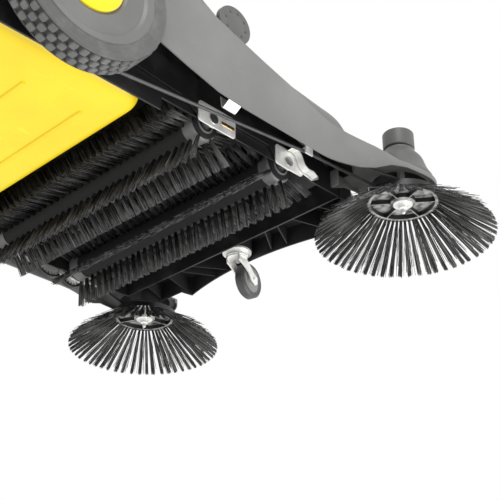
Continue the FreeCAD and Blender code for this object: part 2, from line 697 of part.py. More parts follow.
def mesh_start(start, radius, heading, next_radius):
    """Tooth phase that puts a gear in mesh with its neighbour in the given direction."""
    pitch = 360.0 / round(2 * radius / GEAR_MODULE)
    next_pitch = 360.0 / round(2 * next_radius / GEAR_MODULE)
    share = ((heading - start) / pitch) % 1
    return heading + 180 - ((0.5 - share) % 1) * next_pitch


def gear_train():
    """The four gears in mesh: rear roller, two idlers, front roller, as (radius, y, z, phase)."""
    reach = (REAR_Y - FRONT_ROLLER_Y - 2 * IDLER_R) / 2
    rise = math.sqrt((GEAR_R + IDLER_R) ** 2 - reach ** 2)
    lean = math.degrees(math.atan2(rise, -reach))
    places = [(GEAR_R, REAR_Y, ROLLER_Z), (IDLER_R, REAR_Y - reach, ROLLER_Z + rise),
              (IDLER_R, FRONT_ROLLER_Y + reach, ROLLER_Z + rise), (GEAR_R, FRONT_ROLLER_Y, ROLLER_Z)]
    headings = [lean, 180.0, -lean]
    start = 0.0
    train = [places[0] + (start,)]
    for place, heading in zip(places[1:], headings):
        start = mesh_start(start, train[-1][0], heading, place[0])
        train.append(place + (start,))
    return train


def roller_gear(place):
    """Gear fixed on a roller shaft."""
    return spur_gear(*place).cut(cyl_x(0, PANEL_X, place[1], place[2], SHAFT_R))


def idler_gear(place):
    """Gear that turns on a pin of the swing arm."""
    return spur_gear(*place).cut(cyl_x(0, PANEL_X, place[1], place[2], IDLER_PIN_R + RUN))


def drive_gear(place):
    """Rear roller gear moulded with the belt pulley."""
    x0 = GEAR_X + GEAR_W / 2
    outline = groove_pulley(ROLLER_BELT_X, SMALL_PULLEY_R, SHAFT_R, ROLLER_BELT_R)
    pulley = turned_x(outline, REAR_Y, ROLLER_Z)
    sleeve = turned_x([(x0, SHAFT_R), (x0, SHAFT_R + 4), (ROLLER_BELT_X, SHAFT_R + 4), (ROLLER_BELT_X, SHAFT_R)],
                      REAR_Y, ROLLER_Z)
    return fuse([roller_gear(place), sleeve, pulley])


# ---- swing frame -----------------------------------------------------------
def arm_plate():
    """Left swing arm: pressed plate from the wheel axle to the front roller, with the lift strap."""
    y_low = FRONT_ROLLER_Y - 26
    half = CAM_R + CAM_OFFSET + 4
    window_top = ADJUST_Z - CAM_OFFSET + CAM_R + CAM_PLAY
    strap_top = window_top + 4
    strap_half = half + 4
    outline = [(AXLE_Y + 22, WHEEL_Z - 14), (AXLE_Y + 22, WHEEL_Z + 14), (AXLE_Y - 20, WHEEL_Z + 22),
               (ADJUST_Y + strap_half, 124), (ADJUST_Y + strap_half, strap_top), (ADJUST_Y - strap_half, strap_top),
               (ADJUST_Y - strap_half, 112), (FRONT_ROLLER_Y - 10, 108), (y_low, 98), (y_low, ROLLER_Z - 6),
               (FRONT_ROLLER_Y + 22, ROLLER_Z - 6), (FRONT_ROLLER_Y + 40, 82), (REAR_Y - 40, 82),
               (REAR_Y - 22, ROLLER_Z - 6), (REAR_Y + 22, ROLLER_Z - 6), (REAR_Y + 60, 84),
               (AXLE_Y - 20, WHEEL_Z - 22)]
    plate = plate_x(outline, ARM_X, ARM_X + ARM_T)
    plate = plate.cut(cyl_x(0, PANEL_X, AXLE_Y, WHEEL_Z, AXLE_R + RUN))
    bottom = ADJUST_Z - CAM_OFFSET - CAM_R - CAM_PLAY
    window = box(0, PANEL_X, ADJUST_Y - half, ADJUST_Y + half, bottom, window_top)
    slot = box(0, PANEL_X, ADJUST_Y - 8, ADJUST_Y + 8, WHEEL_Z + 16, bottom)
    plate = plate.cut(window).cut(slot)
    for y in (REAR_Y, FRONT_ROLLER_Y):
        plate = plate.cut(cyl_x(0, PANEL_X, y, ROLLER_Z, BEARING_R))
    return plate


def swing_arm(geared):
    """Left swing arm, with the two idler pins riveted in on the geared side."""
    plate = arm_plate()
    if geared:
        for radius, y, z, start in gear_train()[1:3]:
            plate = plate.fuse(cyl_x(ARM_X, GEAR_X + GEAR_W / 2 + 0.6, y, z, IDLER_PIN_R))
    return plate


def bearing_plate(y, front):
    """Zinc plate that carries one roller bearing, with an oblong hole beside it."""
    x0 = ARM_X + ARM_T
    ahead = 43 if not front else 30
    plate = box(x0, x0 + PLATE_T, y - ahead, y + 29, PLATE_Z, PLATE_Z + 34)
    plate = rounded(plate, 5, lambda e: is_along(e, X_AXIS))
    if front:
        hook = plate_x([(y - 24, PLATE_Z + 30), (y - 24, PLATE_Z + 8), (y - 52, PLATE_Z + 4), (y - 66, PLATE_Z + 12),
                        (y - 66, PLATE_Z + 19), (y - 52, PLATE_Z + 12), (y - 34, PLATE_Z + 22), (y - 34, PLATE_Z + 30)],
                       x0, x0 + PLATE_T)
        plate = plate.fuse(hook)
    plate = plate.cut(cyl_x(0, PANEL_X, y, ROLLER_Z, BEARING_R))
    return plate.removeSplitter()


def roller_bearing(y):
    """Plain bearing of a roller shaft."""
    x1 = ARM_X + ARM_T + PLATE_T
    return cyl_x(ARM_X, x1, y, ROLLER_Z, BEARING_R).cut(cyl_x(0, PANEL_X, y, ROLLER_Z, SHAFT_R + RUN))


def brass_strip(y):
    """Brass slide strip on a bearing plate."""
    x0 = ARM_X + ARM_T + PLATE_T
    return box(x0, x0 + 0.8, y - 40, y - 15, ROLLER_Z - 2, ROLLER_Z + 3)


def gear_cover():
    """Shallow cover over the gear train, open towards the arm."""
    x0 = ARM_X + ARM_T + PLATE_T + 0.1
    x1 = GEAR_X + GEAR_W / 2 + 1.0
    x2 = x1 + 1.4
    outer = [cyl_x(x0, x2, y, z, r + GEAR_MODULE + 4) for r, y, z, a in gear_train()]
    inner = [cyl_x(x0 - 1, x1, y, z, r + GEAR_MODULE + 2.2) for r, y, z, a in gear_train()]
    shell = fuse(outer).cut(fuse(inner))
    hole = cyl_x(0, PANEL_X, REAR_Y, ROLLER_Z, SHAFT_R + 5)
    return shell.cut(hole)


# ---- height adjuster -------------------------------------------------------
def adjuster_shaft():
    """Cross shaft of the roller height adjuster."""
    return cyl_x(-DISC_X, ARM_X + ARM_T + 4, ADJUST_Y, ADJUST_Z, ADJUST_R)


def adjuster_disc():
    """Round flat knob on the right end of the adjuster shaft, with moulding pockets in its back."""
    disc = cyl_x(-DISC_X - DISC_T, -DISC_X, ADJUST_Y, ADJUST_Z, DISC_R)
    disc = rounded(disc, 2.5, lambda e: e.CenterOfMass.x < -DISC_X - DISC_T + 0.1)
    for i in range(8):
        a = math.radians(45 * i + 10)
        spot = cyl_x(-DISC_X - DISC_T - 1, -DISC_X - DISC_T + 1.2, ADJUST_Y + 20 * math.cos(a),
                     ADJUST_Z + 20 * math.sin(a), 2.2)
        disc = disc.cut(spot)
    return disc


def cam():
    """Left eccentric cam in the lift strap's window, fixed on the shaft."""
    disc = cyl_x(ARM_X, ARM_X + ARM_T, ADJUST_Y, ADJUST_Z - CAM_OFFSET, CAM_R)
    hub = cyl_x(WALL_X + WALL_T + 0.3, ARM_X + ARM_T, ADJUST_Y, ADJUST_Z, ADJUST_R + 1.5)
    return disc.fuse(hub).cut(cyl_x(0, PANEL_X, ADJUST_Y, ADJUST_Z, ADJUST_R)).removeSplitter()


# ---- side brushes ----------------------------------------------------------
def brush_disc():
    """Hub of the left side brush: rim ring, thin top, six ribs and a boss."""
    z0 = SB_HUB_Z
    z1 = z0 + SB_HUB_H
    ring = cyl_z(z0, z1, SB_X, SB_Y, SB_HUB_RADIUS).cut(cyl_z(z0, z1, SB_X, SB_Y, SB_HUB_RADIUS - SB_RING_W))
    top = cyl_z(z1 - 2, z1, SB_X, SB_Y, SB_HUB_RADIUS)
    boss = cyl_z(z0, z1, SB_X, SB_Y, SB_BOSS_R)
    pieces = [ring, top, boss]
    for i in range(SB_RIBS):
        rib = box(SB_BOSS_R - 1, SB_HUB_RADIUS - SB_RING_W + 1, -1, 1, z0, z1)
        rib.rotate(ORIGIN, Z_AXIS, 22 + 360.0 * i / SB_RIBS)
        rib.translate(Vector(SB_X, SB_Y, 0))
        pieces.append(rib)
    return fuse(pieces).cut(cyl_z(0, HEIGHT, SB_X, SB_Y, SPINDLE_R))


def brush_bristles():
    """Skirt of bristles from the hub ring to the rim."""
    t = SB_BRISTLE_T
    outline = [(SB_HUB_RADIUS - SB_RING_W, SB_HUB_Z), (SB_HUB_RADIUS, SB_HUB_Z), (SB_HUB_RADIUS, SB_HUB_Z + t),
               (SB_RADIUS, SB_RIM_Z + t), (SB_RADIUS, SB_RIM_Z), (SB_RADIUS - 8, SB_RIM_Z)]
    return turned(outline, SB_X, SB_Y)


def brush_spindle():
    """Spindle with its washer and domed nut under the hub."""
    top = KNOB_Z + KNOB_SOCKET
    washer_z = SB_HUB_Z - SB_WASHER_T
    outline = [(0, washer_z - 17), (3, washer_z - 15), (4, washer_z - 9), (SB_NUT_R, washer_z - 7),
               (SB_NUT_R, washer_z), (SB_WASHER_R, washer_z), (SB_WASHER_R, SB_HUB_Z), (SPINDLE_R, SB_HUB_Z),
               (SPINDLE_R, top), (0, top)]
    return turned(outline, SB_X, SB_Y)


def brush_pulley():
    """Belt pulley of a side brush, turning round the spindle."""
    outline = groove_pulley(BELT_PLANE_Z, BRUSH_PULLEY_R, SPINDLE_R + RUN, SIDE_BELT_R)
    return turned([(r, z) for z, r in outline], SB_X, SB_Y)


def lift_knob():
    """Cylindrical knob that raises and lowers a side brush."""
    knob = cyl_z(KNOB_Z, KNOB_TOP_Z, SB_X, SB_Y, KNOB_R)
    knob = rounded(knob, 2.5, lambda e: e.CenterOfMass.z > KNOB_TOP_Z - 0.1)
    return knob.cut(cyl_z(KNOB_Z - 1, KNOB_Z + KNOB_SOCKET + 0.3, SB_X, SB_Y, SPINDLE_R + RUN))


# ---- caster ----------------------------------------------------------------
def caster_turned(shape):
    """Turn a caster piece about the swivel to its rest direction."""
    shape.rotate(Vector(0, CASTER_Y, 0), Z_AXIS, CASTER_TURN)
    return shape


def caster_plate():
    """Swivel plate and upper race under the front panel."""
    plate = cyl_z(CASTER_PLATE_Z - 3, CASTER_PLATE_Z, 0, CASTER_Y, 25)
    race = cyl_z(62.2, CASTER_PLATE_Z - 3, 0, CASTER_Y, 19)
    return fuse([plate, race])


def caster_fork():
    """Fork with two bent legs and the wheel's axle."""
    y = CASTER_Y
    crown = cyl_z(59.2, 61.9, 0, y, 17)
    axle_y = y - CASTER_TRAIL
    inner = CASTER_W / 2 + SIDE
    outline = [(y + 14, 61.9), (y - 10, 61.9), (y - 16, 56), (axle_y + 4, CASTER_R + 12), (axle_y - 9, CASTER_R + 6),
               (axle_y - 9, CASTER_R - 6), (axle_y - 3, CASTER_R - 10), (axle_y + 8, CASTER_R - 6),
               (axle_y + 18, CASTER_R + 6), (y - 2, CASTER_R + 14), (y + 12, 50)]
    legs = [plate_x(outline, inner, inner + 2.5), plate_x(outline, -inner - 2.5, -inner)]
    axle = cyl_x(-inner - 5, inner + 5, axle_y, CASTER_R, 4)
    return caster_turned(fuse([crown] + legs + [axle]))


def caster_wheel():
    """Hub of the caster wheel."""
    half = CASTER_W / 2
    outline = [(-half, 4 + RUN), (-half, 12), (-half + 3, 14), (-half + 3, CASTER_R - 9), (-half + 1, CASTER_R - 8),
               (half - 1, CASTER_R - 8), (half - 3, CASTER_R - 9), (half - 3, 14), (half, 12), (half, 4 + RUN)]
    return caster_turned(turned_x(outline, CASTER_Y - CASTER_TRAIL, CASTER_R))


def caster_tyre():
    """Soft tread of the caster wheel."""
    half = CASTER_W / 2 - 1
    rim = CASTER_R - 8
    outline = [(-half, rim), (-half, CASTER_R - 3), (-half + 3, CASTER_R), (half - 3, CASTER_R),
               (half, CASTER_R - 3), (half, rim)]
    return caster_turned(turned_x(outline, CASTER_Y - CASTER_TRAIL, CASTER_R))


# ---- container -------------------------------------------------------------
def tub():
    """Waste container: rounded tub with a low front lip, an open top and lugs for its handle."""
    outer = box(-TUB_HALF, TUB_HALF, TUB_Y, TUB_BACK_Y, TUB_BOTTOM_Z, TUB_TOP_Z)
    outer = rounded(outer, 2 * TUB_ROUND, lambda e: is_along(e, Z_AXIS))
    outer = rounded(outer, TUB_ROUND, lambda e: e.CenterOfMass.z < TUB_BOTTOM_Z + 1)
    w = TUB_WALL
    inner = box(-TUB_HALF + w, TUB_HALF - w, TUB_Y + w, TUB_BACK_Y - w, TUB_BOTTOM_Z + w, TUB_TOP_Z - w)
    inner = rounded(inner, 2 * TUB_ROUND - w, lambda e: is_along(e, Z_AXIS))
    inner = rounded(inner, TUB_ROUND - w, lambda e: e.CenterOfMass.z < TUB_BOTTOM_Z + w + 1)
    mouth = box(-TUB_HALF + 34, TUB_HALF - 34, TUB_Y - 1, TUB_Y + 30, 88, COVER_Z - 6)
    top = box(-TUB_HALF + 20, TUB_HALF - 20, TUB_Y + 24, TUB_BACK_Y - 90, TUB_TOP_Z - 2 * w, TUB_TOP_Z + 1)
    slant = plate_x([(TUB_Y - 1, TUB_TOP_Z - 96), (TUB_Y + 81, TUB_TOP_Z + 1), (TUB_Y - 1, TUB_TOP_Z + 1)],
                    -TUB_HALF - 1, TUB_HALF + 1)
    shell = outer.cut(inner).cut(mouth).cut(top).cut(slant)
    ribs = []
    for y in (TUB_Y + 58, TUB_Y + 152, TUB_Y + 246, TUB_Y + 340):
        rib = bar(Vector(-TUB_RIB_HALF, y, TUB_BOTTOM_Z + 0.5), Vector(TUB_RIB_HALF, y, TUB_BOTTOM_Z + 0.5), 3)
        ribs.append(rib.cut(inner))
    lugs = []
    for side in (-1, 1):
        x = side * (BAIL_HALF + 13)
        lug = box(x - 4, x + 4, TUB_BACK_Y - 2, TUB_BACK_Y + 18, BAIL_Z - 9, BAIL_Z + 9)
        lugs.append(lug.cut(cyl_x(x - 5, x + 5, TUB_BACK_Y + 9, BAIL_Z, BAIL_PIN_R + RUN)).cut(inner))
    return fuse([shell] + ribs + lugs)


def bail():
    """Swinging carry handle on the back of the container, hanging down."""
    y = TUB_BACK_Y + 9
    tip = BAIL_HALF + 17
    low = BAIL_Z - BAIL_DROP
    pins = [bar(Vector(side * (BAIL_HALF - 1), y, BAIL_Z), Vector(side * tip, y, BAIL_Z), BAIL_PIN_R)
            for side in (-1, 1)]
    high = BAIL_Z + BAIL_PIN_R + SIDE
    loop = [Vector(-BAIL_HALF, y, high), Vector(-BAIL_HALF, y, low), Vector(BAIL_HALF, y, low),
            Vector(BAIL_HALF, y, high)]
    return fuse([bent_bar(loop, [0, 18, 18, 0], BAIL_R)] + pins)


# ---- push handle -----------------------------------------------------------
def handle_bracket():
    """Left hinge plate of the push handle with its pin."""
    x0 = COVER_HALF
    plate = box(x0, x0 + 2, HINGE_Y - 26, HINGE_Y + 26, HINGE_Z - 30, HINGE_Z + 26)
    plate = rounded(plate, 8, lambda e: is_along(e, X_AXIS))
    return fuse([plate, cyl_x(x0 + 2, HANDLE_HALF + HANDLE_R + 4, HINGE_Y, HINGE_Z, HINGE_PIN_R)])


def handle_bolt():
    """Domed cap on the end of the left hinge pin."""
    x0 = HANDLE_HALF + HANDLE_R + 4
    outline = [(x0, 0), (x0, 15), (x0 + 4, 15), (x0 + 9, 9), (x0 + 10, 0)]
    return turned_x(outline, HINGE_Y, HINGE_Z)


def handle_points():
    """Centre line of the push handle on the left side, from the hinge to the middle of the grip bar."""
    low = Vector(HANDLE_HALF, HINGE_Y, HINGE_Z)
    corner = Vector(GRIP_HALF, GRIP_Y, GRIP_Z)
    rise = Vector(0, GRIP_Y - HINGE_Y, GRIP_Z - HINGE_Z)
    bend = low + rise * 0.42
    top = Vector(GRIP_HALF, low.y + rise.y * 0.72, low.z + rise.z * 0.72)
    return [low, bend, top, corner]


def handle_tube():
    """Bent tube of the push handle with a cross brace and two hinge sleeves."""
    left = handle_points()
    right = [Vector(-p.x, p.y, p.z) for p in reversed(left)]
    loop = bent_bar(left + right, [0, 120, 120, 60, 60, 120, 120, 0], HANDLE_R)
    brace = left[2] + (left[3] - left[2]) * 0.12
    pieces = [loop, bar(Vector(-brace.x, brace.y, brace.z), brace, HANDLE_R - 5)]
    for side in (-1, 1):
        x = side * HANDLE_HALF
        reach = HANDLE_R + SIDE
        pieces.append(cyl_x(x - reach, x + reach, HINGE_Y, HINGE_Z, HANDLE_R + 4))
    frame = fuse(pieces)
    return frame.cut(cyl_x(-PANEL_X - 20, PANEL_X + 20, HINGE_Y, HINGE_Z, HINGE_PIN_R + RUN))


def handle_grip():
    """Soft sleeve over the cross bar."""
    half = GRIP_HALF - 62
    sleeve = cyl_x(-half, half, GRIP_Y, GRIP_Z, GRIP_R)
    sleeve = rounded(sleeve, 2, lambda e: abs(e.CenterOfMass.x) > half - 1 and e.Closed)
    return sleeve.cut(cyl_x(-half, half, GRIP_Y, GRIP_Z, HANDLE_R))


# ---- everything ------------------------------------------------------------
def all_nodes():
    """Every node by name."""
    train = gear_train()
    walls = side_wall()
    panels = side_panel()
    housing = brush_housing()
    arms = {"left": swing_arm(True), "right": mirror(swing_arm(False))}
    plates = [bearing_plate(REAR_Y, False), bearing_plate(FRONT_ROLLER_Y, True)]
    bearings = [roller_bearing(REAR_Y), roller_bearing(FRONT_ROLLER_Y)]
    nodes = {
        "chamber_cover": chamber_cover(),
        "front_panel": front_panel(),
        "hood": hood(),
        "rear_cover": rear_cover(),
        "wheel_axles": group([wheel_axle(), mirror(wheel_axle())]),
        "belt_guides": group([belt_guide(), mirror(belt_guide())]),
        "side_brush_belts": group([side_belt(), mirror(side_belt())]),
        "caster_plate": caster_plate(),
        "handle_brackets": group([handle_bracket(), mirror(handle_bracket())]),
        "handle_caps": group([handle_bolt(), mirror(handle_bolt())]),
        "cover_screws": cover_screws(),
        "adjuster_shaft": adjuster_shaft(),
        "adjuster_disc": adjuster_disc(),
        "adjuster_cams": group([cam(), mirror(cam())]),
        "bearing_plates": group(plates + [mirror(p) for p in plates]),
        "roller_bearings": group(bearings + [mirror(b) for b in bearings]),
        "brass_strips": group([brass_strip(REAR_Y), mirror(brass_strip(REAR_Y))]),
        "gear_cover": gear_cover(),
        "roller_belt": roller_belt(),
        "rear_roller_core": roller_core(REAR_Y),
        "rear_roller_bristles": roller_bristles(REAR_Y, 20),
        "rear_roller_shaft": roller_shaft(REAR_Y, ROLLER_BELT_X + 4),
        "rear_roller_gear": drive_gear(train[0]),
        "front_roller_core": roller_core(FRONT_ROLLER_Y),
        "front_roller_bristles": roller_bristles(FRONT_ROLLER_Y, 50),
        "front_roller_shaft": roller_shaft(FRONT_ROLLER_Y, GEAR_X + GEAR_W / 2),
        "front_roller_gear": roller_gear(train[3]),
        "idler_gear_rear": idler_gear(train[1]),
        "idler_gear_front": idler_gear(train[2]),
        "caster_fork": caster_fork(),
        "caster_wheel": caster_wheel(),
        "caster_tyre": caster_tyre(),
        "container_tub": tub(),
        "container_handle": bail(),
        "push_handle_tube": handle_tube(),
        "push_handle_grip": handle_grip(),
    }
    pairs = {
        "side_wall": (walls, mirror(walls)),
        "side_panel": (panels, mirror(panels)),
        "brush_housing": (housing, mirror(housing)),
        "swing_arm": (arms["left"], arms["right"]),
        "tyre": (tyre(), mirror(tyre())),
        "wheel_disc": (wheel_disc(True), mirror(wheel_disc(False))),
        "hub_cap": (hub_cap(), mirror(hub_cap())),
        "side_brush_disc": (brush_disc(), mirror(brush_disc())),
        "side_brush_bristles": (brush_bristles(), mirror(brush_bristles())),
        "side_brush_spindle": (brush_spindle(), mirror(brush_spindle())),
        "side_brush_pulley": (brush_pulley(), mirror(brush_pulley())),
        "lift_knob": (lift_knob(), mirror(lift_knob())),
    }
    for name, (left, right) in pairs.items():
        nodes[name + "_left"] = left
        nodes[name + "_right"] = right
    return nodes


if __name__ == "__main__":
    os.makedirs("parts", exist_ok=True)
    for name, shape in all_nodes().items():
        shape.exportStep("parts/" + name + ".step")
        print(name, len(shape.Solids), round(shape.Volume), shape.isValid())
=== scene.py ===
# %% [markdown]
# # A walk-behind sweeper
#
# The real machine is pushed over a yard. Two wheels drive two roller brushes and two side brushes through
# belts and gears, and the dirt lands in a container at the back. The pieces with exact shapes come from the
# mechanical model, which is loaded here and never changed. This lesson adds what makes them look real:
# thousands of bristles, the blocks of the tyres, smooth moulded covers and a finish for every surface.

import math

import bmesh
import bpy
import numpy as np
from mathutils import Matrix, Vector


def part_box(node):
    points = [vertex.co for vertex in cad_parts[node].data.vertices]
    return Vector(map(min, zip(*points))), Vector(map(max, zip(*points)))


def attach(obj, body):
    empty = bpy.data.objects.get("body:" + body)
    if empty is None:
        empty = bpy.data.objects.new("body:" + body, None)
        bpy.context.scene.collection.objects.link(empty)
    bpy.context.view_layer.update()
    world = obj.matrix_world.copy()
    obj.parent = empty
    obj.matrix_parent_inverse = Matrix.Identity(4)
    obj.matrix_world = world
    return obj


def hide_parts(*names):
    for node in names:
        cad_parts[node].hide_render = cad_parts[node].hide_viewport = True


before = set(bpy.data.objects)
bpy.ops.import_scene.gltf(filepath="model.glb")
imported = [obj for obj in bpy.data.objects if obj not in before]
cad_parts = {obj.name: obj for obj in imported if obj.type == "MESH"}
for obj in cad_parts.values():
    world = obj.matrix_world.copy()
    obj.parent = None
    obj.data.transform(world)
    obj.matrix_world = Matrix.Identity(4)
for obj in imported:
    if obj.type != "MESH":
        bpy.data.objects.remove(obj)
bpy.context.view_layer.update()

# %% [markdown]
# ## Reading places from the model
#
# Every new piece must sit exactly where the mechanical one sits. A node's box gives its two corners, so the
# middle and the half size of a box are all that is needed to find an axle, a spindle or a rim.

# %% Centres and half sizes of nodes
def middle(node):
    """Middle of a node's box: half the sum of its two corners."""
    low, high = (np.array(corner, dtype=float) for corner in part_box(node))
    return (low + high) / 2


def half_size(node):
    """Half of a node's box: half the difference of its two corners."""
    low, high = (np.array(corner, dtype=float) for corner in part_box(node))
    return (high - low) / 2


MM = 0.001
chance = np.random.default_rng(7)
print("left wheel centre", middle("tyre_left").round(4))

# %% [markdown]
# ## From arrays to a mesh
#
# A surface worked out with numpy is an array of points and an array of corner numbers. Blender can take both
# in one go with foreach_set, which stays fast for a hundred thousand faces. All faces of one call have the
# same number of corners, so a filament uses triangles and a smooth cover uses four-sided faces.

# %% Put arrays into a mesh
def new_piece(name, points, faces, finish, body, smooth=True, numbers=None):
    """Makes an object from points (n, 3) and faces (m, k), gives it a finish and lets it ride on a body.

    numbers, when given, is one value per point that the finish can read as the attribute called strand."""
    points = np.ascontiguousarray(points, dtype=np.float32).reshape(-1, 3)
    faces = np.ascontiguousarray(faces, dtype=np.int32)
    corners = faces.shape[1]
    mesh = bpy.data.meshes.new(name)
    mesh.vertices.add(len(points))
    mesh.vertices.foreach_set("co", points.ravel())
    mesh.loops.add(faces.size)
    mesh.loops.foreach_set("vertex_index", faces.ravel())
    mesh.polygons.add(len(faces))
    mesh.polygons.foreach_set("loop_start", np.arange(0, faces.size, corners, dtype=np.int32))
    mesh.update(calc_edges=True)
    mesh.validate()
    mesh.polygons.foreach_set("use_smooth", np.full(len(mesh.polygons), smooth))
    if numbers is not None:
        strand = mesh.attributes.new("strand", "FLOAT", "POINT")
        strand.data.foreach_set("value", np.asarray(numbers, dtype=np.float32).ravel())
    piece = bpy.data.objects.new(name, mesh)
    bpy.context.scene.collection.objects.link(piece)
    mesh.materials.append(finish)
    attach(piece, body)
    return piece


def grid_faces(rows, columns, wrap_rows=False, wrap_columns=False):
    """Four-sided faces of a grid: each joins point (i, j) with its neighbours (i, j+1), (i+1, j+1), (i+1, j).

    A wrapped direction joins its last line of points to its first."""
    i = np.arange(rows if wrap_rows else rows - 1)[:, None]
    j = np.arange(columns if wrap_columns else columns - 1)[None, :]
    i2, j2 = (i + 1) % rows, (j + 1) % columns
    faces = np.stack(np.broadcast_arrays(i * columns + j, i * columns + j2, i2 * columns + j2, i2 * columns + j), -1)
    return faces.reshape(-1, 4)


print("a 4 by 3 grid has", len(grid_faces(4, 3)), "faces")

# %% [markdown]
# ## Writing shader maths as plain expressions
#
# A finish is a small program that runs at each point of the surface. Built node by node it is hard to read,
# so one class wraps a socket and gives it the usual operators. Then `1 - mask` adds the right Math node. A
# second class holds a material and adds any other node with one method.

# %% A value that can be calculated with
class Value:
    """One number that changes over the surface, held as an output socket."""

    def __init__(self, finish, socket):
        self.finish, self.socket = finish, socket

    def _maths(self, operation, *others, first=True):
        terms = [self, *others] if first else [*others, self]
        node = self.finish.node("ShaderNodeMath", {"operation": operation}, dict(enumerate(terms)))
        return Value(self.finish, node.outputs[0])

    def __add__(self, other):
        return self._maths("ADD", other)

    __radd__ = __add__

    def __sub__(self, other):
        return self._maths("SUBTRACT", other)

    def __rsub__(self, other):
        return self._maths("SUBTRACT", other, first=False)

    def __mul__(self, other):
        return self._maths("MULTIPLY", other)

    __rmul__ = __mul__

    def __pow__(self, other):
        return self._maths("POWER", other)

    def between(self, low, high):
        """Rises smoothly from 0 where the value is low to 1 where it is high."""
        node = self.finish.node("ShaderNodeMapRange", {"interpolation_type": "SMOOTHSTEP"},
                                {"Value": self, "From Min": low, "From Max": high})
        return Value(self.finish, node.outputs[0])


# %% A finish that nodes can be added to
class Finish:
    """A material with a Principled shader. Constants go straight on the shader's sockets."""

    def __init__(self, name, **constants):
        self.material = bpy.data.materials.new(name)
        self.material.use_nodes = True
        self.tree = self.material.node_tree
        self.shader = self.tree.nodes["Principled BSDF"]
        for socket, value in constants.items():
            self.shader.inputs[socket.replace("_", " ")].default_value = value
        self.place = self.node("ShaderNodeTexCoord").outputs["Object"]

    def node(self, kind, settings=None, inputs=None):
        """Adds a node, sets it up, then gives its sockets their values or links."""
        node = self.tree.nodes.new(kind)
        for key, value in (settings or {}).items():
            if key == "stops":
                ramp = node.color_ramp
                while len(ramp.elements) < len(value):
                    ramp.elements.new(0.5)
                for element, (position, colour) in zip(ramp.elements, value):
                    element.position, element.color = position, (*colour, 1)
            else:
                setattr(node, key, value)
        for key, value in (inputs or {}).items():
            self.feed(node.inputs[key], value)
        return node

    def feed(self, socket, value):
        """Links a socket or sets its constant."""
        if isinstance(value, Value):
            value = value.socket
        if isinstance(value, bpy.types.NodeSocket):
            self.tree.links.new(value, socket)
        else:
            socket.default_value = value

    def noise(self, size, detail=3.0, rough=0.5, stretch=(1, 1, 1), lift=0.0):
        """Cloudy noise whose patches are about size metres wide, stretched along the axes."""
        spot = self.node("ShaderNodeMapping", inputs={"Vector": self.place, "Scale": stretch,
                                                      "Location": (lift, lift, lift)})
        node = self.node("ShaderNodeTexNoise", inputs={"Vector": spot.outputs[0], "Scale": 1 / size,
                                                       "Detail": detail, "Roughness": rough})
        return Value(self, node.outputs[0])

    def cells(self, size):
        """Distance to scattered points about size metres apart."""
        node = self.node("ShaderNodeTexVoronoi", inputs={"Vector": self.place, "Scale": 1 / size})
        return Value(self, node.outputs["Distance"])

    def mix(self, share, first, second):
        """Colour that goes from first to second as share goes from 0 to 1."""
        node = self.node("ShaderNodeMix", {"data_type": "RGBA"}, {0: share, 6: colour(first), 7: colour(second)})
        return node.outputs[2]

    def paint(self, tint=None, roughness=None, height=None, depth=0.1 * MM):
        """Feeds the shader: its colour, its roughness and its bumps."""
        for socket, value in (("Base Color", tint), ("Roughness", roughness)):
            if value is not None:
                self.feed(self.shader.inputs[socket], value)
        if height is not None:
            bump = self.node("ShaderNodeBump", inputs={"Strength": 1.0, "Distance": depth, "Height": height})
            self.feed(self.shader.inputs["Normal"], bump.outputs[0])
        return self.material


def colour(value):
    """A colour of three numbers gets its alpha of 1, and a link stays a link."""
    return (*value, 1.0) if isinstance(value, tuple) and len(value) == 3 else value


print("shader tools ready")

# %% [markdown]
# ## Moulded plastics
#
# Covers and panels of such a machine are moulded in steel tools with an etched skin. The skin scatters light
# in grains under half a millimetre, and the pressing leaves slow waves. Handling polishes the high spots, and
# dust settles in patches. One function makes the whole family, and each plastic chooses its own numbers.

# %% A family of moulded plastics
def moulded(name, deep, wear_and_painted_light, rough, grain=0.45 * MM, depth=0.04 * MM):
    """Etched plastic: fine grain for the bumps, wide patches for the colour, and both for the roughness."""
    skin = Finish(name, IOR=1.5)
    patches = skin.noise(0.11, detail=4)
    fine = skin.noise(grain, detail=2, rough=0.6)
    scuffs = skin.noise(0.012, detail=6, rough=0.7, stretch=(1, 0.25, 1), lift=0.4).between(0.60, 0.74)
    tint = skin.mix(patches.between(0.3, 0.75), deep, wear_and_painted_light)
    tint = skin.mix(scuffs * 0.28, tint, tuple(min(1.0, c * 1.5 + 0.02) for c in wear_and_painted_light))
    return skin.paint(tint, patches * 0.10 + fine * 0.08 + scuffs * 0.06 + (rough - 0.09), fine, depth)


# The side panels take a lighter copy of the anthracite cover plastic: painted light, standing in for light falling on
# them from the side.
side_lit_panel_plastic = moulded("etched_plastic_painted_side_light", (0.160, 0.160, 0.155), (0.200, 0.200, 0.194), 0.46)
cover_plastic = moulded("etched_anthracite_plastic", (0.090, 0.090, 0.088), (0.118, 0.118, 0.115), 0.46)
black_plastic = moulded("etched_black_plastic", (0.008, 0.008, 0.009), (0.016, 0.016, 0.016), 0.46)
yellow_plastic = moulded("satin_yellow_plastic", (0.88, 0.63, 0.006), (0.93, 0.71, 0.012), 0.36, 0.8 * MM, 0.02 * MM)
pale_plastic = moulded("natural_nylon", (0.42, 0.42, 0.41), (0.56, 0.56, 0.54), 0.40)
ring_plastic = moulded("grey_nylon", (0.20, 0.20, 0.20), (0.30, 0.30, 0.29), 0.36)
disc_plastic = moulded("wheel_plastic", (0.125, 0.125, 0.120), (0.158, 0.158, 0.152), 0.40)


